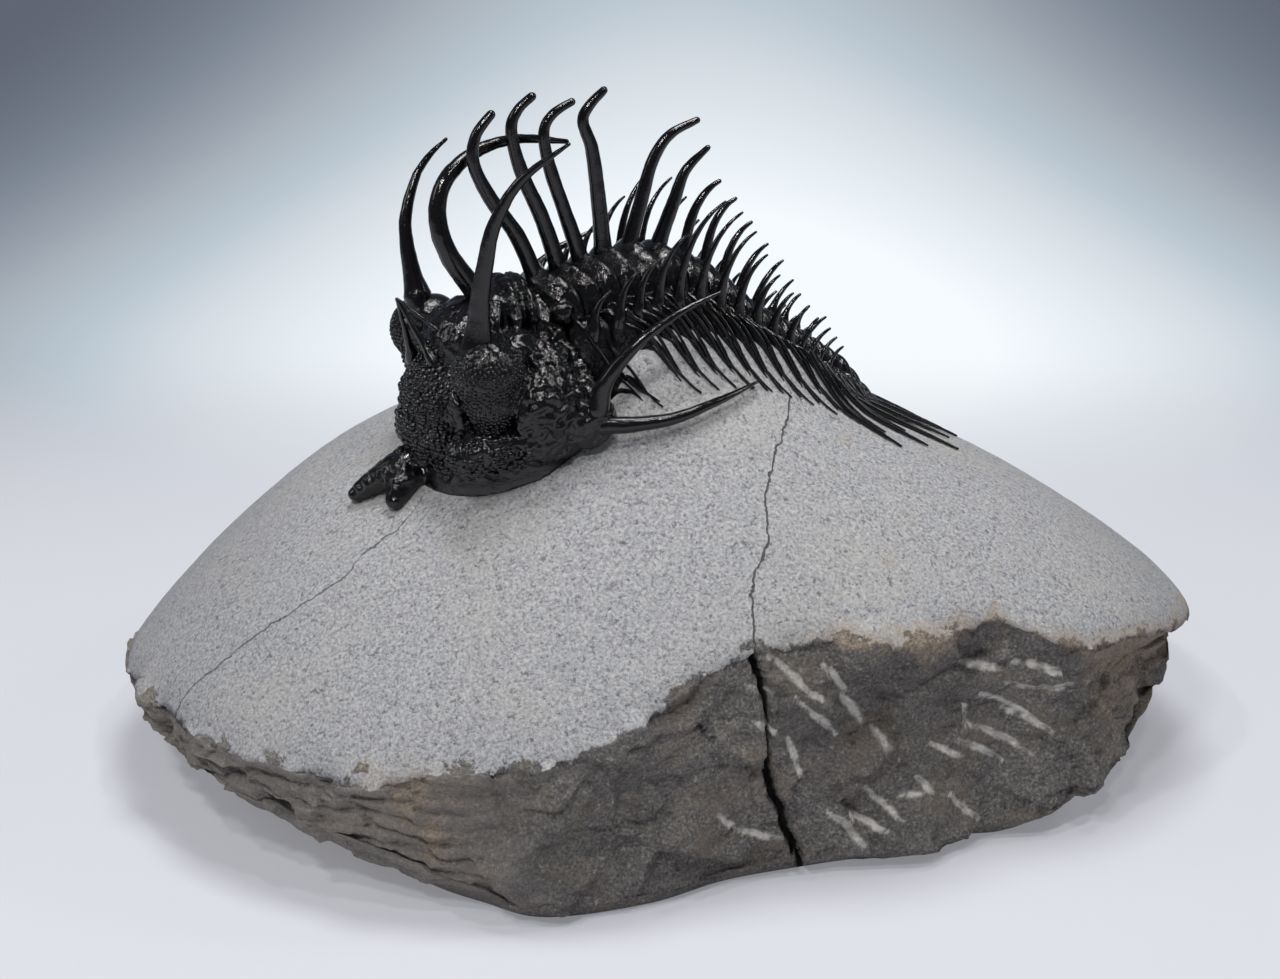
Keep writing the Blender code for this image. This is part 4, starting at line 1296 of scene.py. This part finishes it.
def build_tail():
    points, faces = close_sections(tail_skin())
    plate = mesh_piece("tail", points, faces, shell)
    spines = []
    first = AXIS_JOINTS[-1] + 1.2
    for k, length in enumerate(TAIL_SPINES):
        s = first + TAIL_SPINE_PITCH * k
        path = bent_path((s, 0.0, float(tail_height(s, 0.0, RIB_REACH)) - 0.1), length, 22, 40, 1.3)
        spines.append(draw_spine(path, 0.42 - 0.03 * k, 0.15, flare=1.9, sink=1.2))
        for side in (-1, 1):
            t = side * (5.4 - 0.5 * k)
            z = float(tail_height(s + 0.5, t, float(tail_edge(s))))
            path = bent_path((s + 0.5, t, z - 0.2), length + 0.6, 24, 40, 1.3, 4 * side)
            spines.append(draw_spine(path, 0.40 - 0.03 * k, 0.14, flare=1.9, sink=1.0))
    last = len(TAIL_EDGE_SPINES) - 1
    for k, length in enumerate(TAIL_EDGE_SPINES):
        share = k / last
        s = TAIL_EDGE_START + TAIL_EDGE_LENGTH * share
        t = float(tail_edge(s)) - 0.6 - 0.8 * share
        between = s + 1.1
        for side in (-1, 1):
            angle = 32 * (1 - share) ** 0.8 + 4 + 2.0 * math.sin(5.1 * k + side)
            reach = length + 0.9 * math.sin(3.7 * k)
            path = rib_tip_path(s, t, reach, angle, side, lift=0.45, steps=9)
            spines.append(draw_spine(path, 0.42, 0.13, flare=1.0, sink=0.1, spacing=0.45))
            if k == last:
                continue
            angle = 32 * (1 - share - 0.12) ** 0.8 + 5 + 2.5 * math.sin(2.3 * k + 2 * side)
            reach = length - 2.5 - 1.1 * (k % 2)
            edge = float(tail_edge(between)) - 0.8
            path = rib_tip_path(between, edge, reach, angle, side, lift=0.35, steps=9)
            spines.append(draw_spine(path, 0.32, 0.10, flare=1.0, sink=0.1, spacing=0.45))
    tubes = grow_spines("tail_spines", spines, spine_shell, sides=10)
    return join_pieces("tail", [plate, tubes])


tail = build_tail()
pieces[tail] = "tail_shield"
print("tail:", triangle_count(tail.data), "triangles")

# %% [markdown]
# ## The head shield
#
# The head is a domed plate that carries swollen forms: the big front lobe that hangs over the edge, the
# lobe behind it, the neck ring, two tall eyes, and a wrinkled cheek and corner on each side. At the very
# front a short stalk splits into two blunt prongs. The forms are laid into each other as plain balls, fused
# by remeshing at a quarter of a millimetre, and smoothed.

# %% Head forms
HEAD_CENTRE = -13.0
HEAD_FRONT = 14.8
HEAD_SIDE = 11.8
# Name: centre along, across and above; half sizes; nose-down tilt. Paired ones are given for the near side
MIDDLE_LOBES = {
    "front lobe": ((-25.0, 0.2, 46.8), (3.8, 6.0, 5.4), -14),
    "front lobe, lower": ((-26.0, 0, 43.6), (3.4, 6.0, 3.4), -8),
    "stem of the fork": ((-28.2, -0.7, 38.9), (3.0, 2.6, 1.6), -14),
    "upper lobe": ((-22.0, 0, 52.6), (4.4, 5.4, 4.6), -30),
    "ridge behind upper lobe": ((-20.3, 0, 55.0), (1.3, 4.9, 3.4), -20),
    "neck ring": ((-18.3, 0, 54.9), (1.35, 5.5, 4.3), -6),
    "first half ring": ((-16.3, 0, 55.2), (1.1, 5.2, 3.9), 0),
}
PAIRED_LOBES = {
    "eye": ((-23.2, 9.1, 51.7), (3.7, 3.5, 3.5), 0),
    "eye foot": ((-23.1, 9.5, 49.0), (2.5, 2.8, 3.3), 0),
    "behind the eye": ((-18.8, 6.4, 51.4), (3.3, 3.9, 3.6), 0),
    "eye lid": ((-23.0, 7.7, 53.8), (2.7, 2.5, 1.9), 8),
    "cheek": ((-17.6, 10.4, 47.6), (4.6, 3.3, 4.6), 10),
    "cheek, lower": ((-17.2, 10.6, 45.0), (5.2, 2.4, 3.2), 6),
    "cheek, back": ((-15.9, 8.2, 51.2), (2.4, 2.6, 3.0), 0),
    "band under eye": ((-22.6, 9.6, 44.0), (5.4, 2.7, 2.6), 8),
    "corner": ((-13.4, 11.9, 46.2), (3.1, 2.1, 3.1), 0),
    "valley beside the front lobe": ((-24.2, 5.9, 47.4), (2.3, 2.1, 3.6), 0),
    "shoulder node": ((-13.4, 5.6, 56.0), (1.3, 1.2, 1.3), 0),
}
HEAD_GRAIN = 0.25
PLATE_ROWS = 121
PLATE_POINTS = 60


def head_outline(t):
    return HEAD_CENTRE - HEAD_FRONT * np.sqrt(np.clip(1 - (t / (HEAD_SIDE + 0.05)) ** 2, 0, 1))


def head_plate():
    """The domed plate under the lobes, with a smooth rounded border along its front."""
    across = HEAD_SIDE * np.sin(np.radians(np.linspace(-72, 72, PLATE_ROWS)))[:, None]
    front = head_outline(across)
    back = joint_line(0, np.minimum(np.abs(across), EDGE_REACH + 1.0)) - JOINT_GAP
    share = np.linspace(0, 1, PLATE_POINTS)[None, :]
    t = across * np.ones((1, PLATE_POINTS))
    s = front + (back - front) * share
    rim = ground(s, t) + 2.4
    domed = np.clip(1 - (t / HEAD_SIDE) ** 2, 0, 1) ** 1.7
    full = read_table(BACK_CURVE, np.maximum(s, -20.0)) - 1.0 - rim
    z = rim + full * domed * share**0.75
    z = z - 1.4 * (1 - rise(share, 0, 0.06)) ** 2 - 0.7 * bell(share, 0.12, 0.05)
    top = on_block(s, t, z)
    under_s = front + (back - front) * np.linspace(1, 0, 8)[None, :]
    under_t = across * np.ones((1, 8))
    under = on_block(under_s, under_t, ground(under_s, under_t) - 0.25)
    return close_sections(np.concatenate([top, under], axis=1))


def ball(centre, half_sizes, tilt):
    """A stretched ball, tipped nose down, as points and faces on the block."""
    shape = bmesh.new()
    bmesh.ops.create_icosphere(shape, subdivisions=4, radius=1.0)
    unit_ball = np.array([vertex.co for vertex in shape.verts])
    faces = [[vertex.index for vertex in face.verts] for face in shape.faces]
    shape.free()
    s, t, z = (unit_ball * half_sizes).T
    lean = math.radians(tilt)
    forward = s * math.cos(lean) - z * math.sin(lean)
    upward = s * math.sin(lean) + z * math.cos(lean)
    places = on_block(centre[0] + forward, centre[1] + t, centre[2] + upward)
    places[:, 2] = np.maximum(places[:, 2], stone_top(places[:, 0], places[:, 1]) - 0.2)
    return places, faces


def fuse(parts, name, grain_mm, smoothing):
    """One closed skin from overlapping closed parts."""
    mesh = bpy.data.meshes.new(name)
    points = []
    faces = []
    for part_points, part_faces in parts:
        start = len(points)
        points += (np.asarray(part_points) * MM).tolist()
        faces += [[start + k for k in face] for face in part_faces]
    mesh.from_pydata(points, [], faces)
    piece = bpy.data.objects.new(name, mesh)
    bpy.context.scene.collection.objects.link(piece)
    remesh = piece.modifiers.new("Fuse", "REMESH")
    remesh.mode = "VOXEL"
    remesh.voxel_size = grain_mm * MM
    relax = piece.modifiers.new("Smooth", "SMOOTH")
    relax.factor = 0.5
    relax.iterations = smoothing
    graph = bpy.context.evaluated_depsgraph_get()
    fused = bpy.data.meshes.new_from_object(piece.evaluated_get(graph))
    piece.modifiers.clear()
    piece.data = fused
    return piece


def from_ball(s, t, z, centre, half_sizes):
    """0 in the middle of a stretched ball and 1 on its skin. Both sides of the animal count."""
    far = ((s - centre[0]) / half_sizes[0]) ** 2 + ((np.abs(t) - centre[1]) / half_sizes[1]) ** 2
    return np.sqrt(far + ((z - centre[2]) / half_sizes[2]) ** 2)


def near(s, t, z, centre, half_sizes, spread=1.35):
    """1 inside a stretched ball and 0 well outside it."""
    return rise(from_ball(s, t, z, centre, half_sizes), spread, 1.0)


def read_mesh(collection, name):
    """A triple from each of a mesh's points, as rows of an array."""
    flat = np.empty(len(collection) * 3)
    collection.foreach_get(name, flat)
    return flat.reshape(-1, 3)


# Along and across: where the fork starts, and the tips of the far and the near prong
FORK_START = (-28.2, -0.8)
FORK_TIPS = ((-33.2, -3.9), (-30.9, 1.5))
# Place along a prong, half width and half height there
PRONG_SIZES = (
    (0.0, 2.3, 1.7), (0.14, 2.2, 1.6), (0.28, 2.05, 1.5), (0.42, 1.85, 1.4), (0.56, 1.65, 1.3),
    (0.7, 1.45, 1.15), (0.84, 1.25, 1.0), (1.0, 1.0, 0.8),
)


def fused_head():
    parts = [head_plate()]
    for centre, sizes, tilt in MIDDLE_LOBES.values():
        parts.append(ball(centre, sizes, tilt))
    for name, (centre, sizes, tilt) in PAIRED_LOBES.items():
        for side in (-1, 1):
            if name == "band under eye" and side < 0:
                continue
            parts.append(ball((centre[0], centre[1] * side, centre[2]), sizes, tilt))
    for tip in FORK_TIPS:
        for share, half_width, half_height in PRONG_SIZES:
            s, t = (start + (end - start) * share for start, end in zip(FORK_START, tip))
            middle = float(ground(s, t)) + half_height * 0.95
            parts.append(ball((s, t, middle), (half_width * 1.1, half_width, half_height), 0))
    return fuse(parts, "head", HEAD_GRAIN, 3)


head_skin = fused_head()
print("fused head:", triangle_count(head_skin.data), "triangles")

# %% [markdown]
# ## Wrinkles, warts and lenses
#
# The regions of the head differ in skin, and a value for each says how strongly it shows. The skin is
# pushed along its normals: sharp wrinkles on the cheeks, soft lumps on the front lobe. Warts stand on the
# front lobe and the band under the eye. The eye is a field of fine lenses, closer together than the warts,
# with a smooth shining lid above it.

# %% Head skin
GROOVE_DEPTH = 0.6
WART_GRAINS = {
    "Apart": 0.56 * MM, "Radius": 0.33 * MM, "Flatness": 0.75, "Size Spread": 0.5, "Seed": 4,
    "Finish": grainy_shell,
}
LENS_GRAINS = {
    "Apart": 0.40 * MM, "Radius": 0.23 * MM, "Flatness": 0.8, "Size Spread": 0.08, "Seed": 9,
    "Finish": grainy_shell,
}


def head_regions(s, t, z):
    """How strongly each region of the head, and the groove round the eye, shows at each point: 0 to 1."""

    def region(lobes, name, spread):
        return near(s, t, z, *lobes[name][:2], spread)

    front = region(MIDDLE_LOBES, "front lobe", 1.3) * (s < -22.5)
    front = np.maximum(front, region(MIDDLE_LOBES, "front lobe, lower", 1.25) * (s < -23))
    front = front * rise(np.abs(t), 6.4, 5.2)
    band = region(PAIRED_LOBES, "band under eye", 1.3) * (s < -19.5) * (1 - front)
    from_eye = np.minimum(*(from_ball(s, t, z, *PAIRED_LOBES[name][:2]) for name in ("eye", "eye foot")))
    under_lid = rise(z, 54.2, 53.4)
    eye = rise(from_eye, 1.12, 1.06) * rise(np.abs(t), 7.0, 7.5) * under_lid
    cheek = np.maximum(region(PAIRED_LOBES, "cheek", 1.5), region(PAIRED_LOBES, "cheek, lower", 1.4))
    return {
        "front": front, "band": band, "eye": eye, "cheek": cheek * (1 - eye),
        "lid": region(PAIRED_LOBES, "eye lid", 1.3), "groove": bell(from_eye, 1.19, 0.07) * under_lid,
    }


def carve_head(piece):
    """Pushes the head's skin in and out, and returns where warts and lenses grow."""
    points = read_mesh(piece.data.vertices, "co") / MM
    normal = read_mesh(piece.data.vertex_normals, "vector")
    s, t = along_animal(points[:, 0], points[:, 1])
    z = points[:, 2]
    shows = head_regions(s, t, z)
    front, band, eye, cheek = (shows[name] for name in ("front", "band", "eye", "cheek"))
    wrinkle = 0.50 * ridges(points * (1, 1, 0.7), 2.2, 611, 3) + 0.36 * ridges(points, 1.0, 617, 2) - 0.55
    lumps = 0.34 * wander(points, 1.5, 631, 3)
    push = cheek * wrinkle + front * (lumps + 0.05) + band * 0.8 * lumps * (1 - eye)
    plain = 1 - np.max([cheek, front, eye, shows["lid"]], axis=0)
    push += plain * (0.34 * ridges(points, 2.0, 641, 3) - 0.16) - GROOVE_DEPTH * shows["groove"]
    above_stone = rise(z - ground(s, t), 1.3, 2.1)
    moved = np.array(points + normal * (push * above_stone)[:, None])
    moved[:, 2] = np.maximum(moved[:, 2], stone_top(moved[:, 0], moved[:, 1]) - 0.25)
    piece.data.vertices.foreach_set("co", (moved * MM).ravel())
    piece.data.update()
    piece.data.shade_smooth()
    return {"warts": np.maximum(front, band * 0.45) * above_stone, "lenses": eye}


def grains_on(piece, name, values, settings):
    """Grains strewn over a copy of a piece, as many as values allow."""
    copy = piece.data.copy()
    write_values(copy, "grains", values)
    return run_tree(name, copy, grain_tree, settings)


skin = carve_head(head_skin)
warts = grains_on(head_skin, "warts", np.clip(skin["warts"] * 1.5, 0, 1), WART_GRAINS)
lenses = grains_on(head_skin, "lenses", (skin["lenses"] > 0.5) * 1.0, LENS_GRAINS)
print("warts:", triangle_count(warts.data), "triangles; lenses:", triangle_count(lenses.data))

# %% [markdown]
# ## Horns and cheek spines
#
# Long curved horns stand on the eyes, the neck ring carries a spine that sweeps over the back, and each
# cheek corner sends one long spine up and one over the stone. Between the eyes three thin props meet in one
# pointed tip.

# %% Head spines
NECK_SPINE = (
    (-19.4, 0.0, 55.0), (-21.2, 0.0, 58.2), (-23.8, 0.0, 62.2), (-24.6, -0.5, 66.0), (-23.4, -1.2, 69.4),
    (-19.6, -2.4, 71.8), (-14.6, -3.0, 72.6), (-8.8, -3.0, 71.8),
)
# The near horn and the far one: side, root radius and path
HORNS = (
    (1, 1.12, (
        (-23.9, 8.2, 54.2), (-23.8, 8.8, 59.0), (-23.4, 9.6, 63.3), (-22.6, 10.4, 67.5), (-20.4, 12.0, 71.9),
        (-16.0, 14.0, 75.6),
    )),
    (-1, 0.92, (
        (-24.3, 8.2, 55.8), (-24.8, 9.0, 59.6), (-24.7, 10.0, 63.5), (-23.2, 11.0, 67.4), (-21.4, 11.6, 69.6),
        (-19.0, 12.0, 71.4),
    )),
)
# Along, across, and the height of the spine's middle above the stone
CHEEK_SPINE = (
    (-12.4, 12.8, 3.2), (-9.0, 14.2, 2.6), (-5.2, 15.0, 2.1), (-1.4, 14.9, 1.9), (2.4, 14.0, 1.6),
    (5.8, 12.6, 1.2),
)
CORNER_SPINE = (
    (-12.8, 12.8, 48.0), (-12.0, 13.8, 51.0), (-9.2, 14.6, 54.4), (-5.6, 15.0, 56.8), (-2.6, 15.0, 58.1),
    (0.2, 15.0, 59.0),
)
BROW_TIP = (-29.0, -1.5, 57.6)
BROW_FEET = ((-26.6, 1.6, 52.0), (-24.4, 2.4, 53.4), (-27.0, -3.0, 51.0))


def head_spines():
    spines = [draw_spine(NECK_SPINE, 1.15, 0.28, flare=1.3, sink=2.0, reach=1.5, late=1.7)]
    for side, root, path in HORNS:
        path = [(s, t * side, z) for s, t, z in path]
        spines.append(draw_spine(path, root, 0.18, flare=1.7, sink=1.8, reach=1.8, late=1.5))
    for side in (-1, 1):
        path = [(s, t * side, float(ground(s, t * side)) + lift) for s, t, lift in CHEEK_SPINE]
        spines.append(draw_spine(path, 0.95, 0.16, flare=1.3, sink=2.0))
        path = [(s, t * side, z) for s, t, z in CORNER_SPINE]
        spines.append(draw_spine(path, 0.86, 0.14, flare=1.8, sink=1.6, reach=1.8))
    for foot in BROW_FEET:
        middle = [(a + b) / 2 for a, b in zip(foot, BROW_TIP)]
        spines.append(draw_spine([foot, middle, BROW_TIP], 0.46, 0.12, flare=1.7, sink=1.0, late=1.0))
    return spines


tubes = grow_spines("head_spines", head_spines(), spine_shell, sides=14, lump=0.10, lump_size=1.3)
head_skin.data.materials.clear()
head_skin.data.materials.append(shell)
head = join_pieces("head", [head_skin, warts, lenses, tubes])
pieces[head] = "head_shield"
print("head:", triangle_count(head.data), "triangles")

# %% [markdown]
# ## Hand the pieces to the frame
#
# Each finished piece rides on the frame's one body, and each replaces the plain solid that gave its place.

# %% Pieces ride and replace
for piece, node in pieces.items():
    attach(piece, "root")
    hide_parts(node)
print(len(pieces), "pieces,", sum(triangle_count(piece.data) for piece in pieces), "triangles")

# %% [markdown]
# ## The studio
#
# The specimen stands on a pale sheet that sweeps up behind it. Behind the animal the sheet glows with a
# painted pool of light, which falls off to blue-grey above and to the sides. The main softbox hangs overhead,
# so that the broken front of the block falls into shade. Smaller lamps in front and at the sides draw bright
# streaks on the black shell. The sheet in front glows a little too, which keeps the shadows on it pale.

# %% Sheet, lights and camera
SHEET_HALF_WIDTH = 700
SHEET_FRONT = -420
SHEET_BEND_START = 170
SHEET_BEND_RADIUS = 260
SHEET_TOP = 620
SHEET_STEPS = 24
FLOOR_GLOW = 0.29
# The painted pool of light that glows on the sheet: middle and half size, across and away from the camera
POOL_ACROSS = (10 * MM, 119 * MM)
POOL_DEEP = (165 * MM, 155 * MM)
POOL_STRENGTH = 1.2
# Name, place, aim, width, depth and watts
SOFTBOXES = (
    ("overhead_softbox", (10, 10, 430), (0, -5, 30), 165, 130, 0.98),
    ("front_top_light", (-90, -330, 380), (0, 0, 45), 60, 40, 0.55),
    ("small_lamp_left", (-150, -200, 380), (0, 0, 50), 24, 24, 0.28),
    ("small_lamp_right", (110, -170, 400), (0, 0, 50), 24, 24, 0.24),
    ("right_light", (330, 20, 270), (0, 0, 45), 60, 150, 0.20),
    ("left_light", (-330, -60, 250), (0, 0, 45), 60, 150, 0.16),
)


def squared_away(tree, value, middle, half_size):
    """Square of the distance from the middle, counted in half sizes."""
    share = maths(tree, "DIVIDE", maths(tree, "SUBTRACT", value, middle), half_size)
    return maths(tree, "POWER", maths(tree, "ABSOLUTE", share), 2.0)


def make_sheet_finish():
    made, tree, shader = new_material("pale paper sheet, glowing with a painted pool of light")
    apart = add_node(tree, "ShaderNodeSeparateXYZ", {0: object_place(tree)})
    x, y = apart.outputs[0], apart.outputs[1]
    wide = squared_away(tree, x, *POOL_ACROSS)
    deep = squared_away(tree, y, *POOL_DEEP)
    corner = maths(tree, "MULTIPLY", maths(tree, "MULTIPLY", wide, deep), 1.2)
    away = maths(tree, "ADD", maths(tree, "ADD", wide, deep), corner)
    falling = maths(tree, "EXPONENT", maths(tree, "MULTIPLY", away, -1.0))
    pool = maths(tree, "MULTIPLY", falling, POOL_STRENGTH)
    # Painted light: the pool and its falloff to blue-grey are the sheet's own glow. Behind the animal the sheet
    # has no colour of its own.
    glow = ramp_node(
        tree, pool, (0.03, "5f6573"), (0.15, "7d8693"), (0.35, "a9b2bb"), (0.5, "b9c6d0"),
        (0.65, "d3dae1"), (0.85, "e6edf3"), (1.0, "f4fafe"),
    )
    behind = step_node(tree, y, 45 * MM, 160 * MM)
    paper = mix_colours(tree, behind, linear("b6b7bd"), linear("000000"))
    glow = mix_colours(tree, behind, linear("dcdde4"), glow)
    glow_strength = maths(tree, "ADD", maths(tree, "MULTIPLY", behind, 1 - FLOOR_GLOW), FLOOR_GLOW)
    tree.links.new(paper, shader.inputs["Base Color"])
    shader.inputs["Roughness"].default_value = 0.8
    shader.inputs["Specular IOR Level"].default_value = 0.1
    tree.links.new(glow, shader.inputs["Emission Color"])
    tree.links.new(glow_strength, shader.inputs["Emission Strength"])
    return made


def build_sheet():
    profile = [(SHEET_FRONT, 0.0), (SHEET_BEND_START, 0.0)]
    for k in range(1, SHEET_STEPS + 1):
        turn = math.radians(90 * k / SHEET_STEPS)
        y = SHEET_BEND_START + SHEET_BEND_RADIUS * math.sin(turn)
        profile.append((y, SHEET_BEND_RADIUS * (1 - math.cos(turn))))
    profile.append((SHEET_BEND_START + SHEET_BEND_RADIUS, SHEET_TOP))
    points = []
    faces = []
    for k, (y, z) in enumerate(profile):
        points += [(-SHEET_HALF_WIDTH, y, z), (SHEET_HALF_WIDTH, y, z)]
        if k:
            faces.append((2 * k - 2, 2 * k - 1, 2 * k + 1, 2 * k))
    mesh = bpy.data.meshes.new("paper_sheet")
    mesh.from_pydata((np.array(points) * MM).tolist(), [], faces)
    mesh.shade_smooth()
    mesh.materials.append(make_sheet_finish())
    sheet = bpy.data.objects.new("paper_sheet", mesh)
    bpy.context.scene.collection.objects.link(sheet)
    return sheet


def add_softbox(name, place, aim, width, depth, watts):
    lamp = bpy.data.lights.new(name, "AREA")
    lamp.shape = "RECTANGLE"
    lamp.size = width * MM
    lamp.size_y = depth * MM
    lamp.energy = watts
    holder = bpy.data.objects.new(name, lamp)
    bpy.context.scene.collection.objects.link(holder)
    from_here = np.array(aim, float) - np.array(place, float)
    holder.location = np.array(place) * MM
    tilt = math.atan2(math.hypot(from_here[0], from_here[1]), -from_here[2])
    turn = math.atan2(from_here[1], from_here[0]) - math.pi / 2
    holder.rotation_euler = (tilt, 0, turn)


build_sheet()
for row in SOFTBOXES:
    add_softbox(*row)
print("lights:", [row[0] for row in SOFTBOXES])

world = bpy.data.worlds.new("dim studio")
world.use_nodes = True
world.node_tree.nodes["Background"].inputs["Color"].default_value = linear("c9ced6")
world.node_tree.nodes["Background"].inputs["Strength"].default_value = 0.18
bpy.context.scene.world = world
bpy.context.scene.view_settings.view_transform = "Standard"

CAMERA_DISTANCE = 280
CAMERA_HEIGHT_ANGLE = math.radians(20)
CAMERA_AIM = (-1.8, 0.0, 31.0)
LENS_LENGTH = 70
SENSOR_WIDTH = 36
lens = bpy.data.cameras.new("camera")
lens.lens = LENS_LENGTH
lens.sensor_width = SENSOR_WIDTH
lens.clip_start = 0.01
lens.clip_end = 10
lens.dof.use_dof = False
camera = bpy.data.objects.new("camera", lens)
camera.location = (
    CAMERA_AIM[0] * MM,
    (CAMERA_AIM[1] - CAMERA_DISTANCE * math.cos(CAMERA_HEIGHT_ANGLE)) * MM,
    (CAMERA_AIM[2] + CAMERA_DISTANCE * math.sin(CAMERA_HEIGHT_ANGLE)) * MM,
)
camera.rotation_euler = (math.radians(90) - CAMERA_HEIGHT_ANGLE, 0, 0)
bpy.context.scene.collection.objects.link(camera)
bpy.context.scene.camera = camera
print("camera", CAMERA_DISTANCE, "mm from the block's middle")
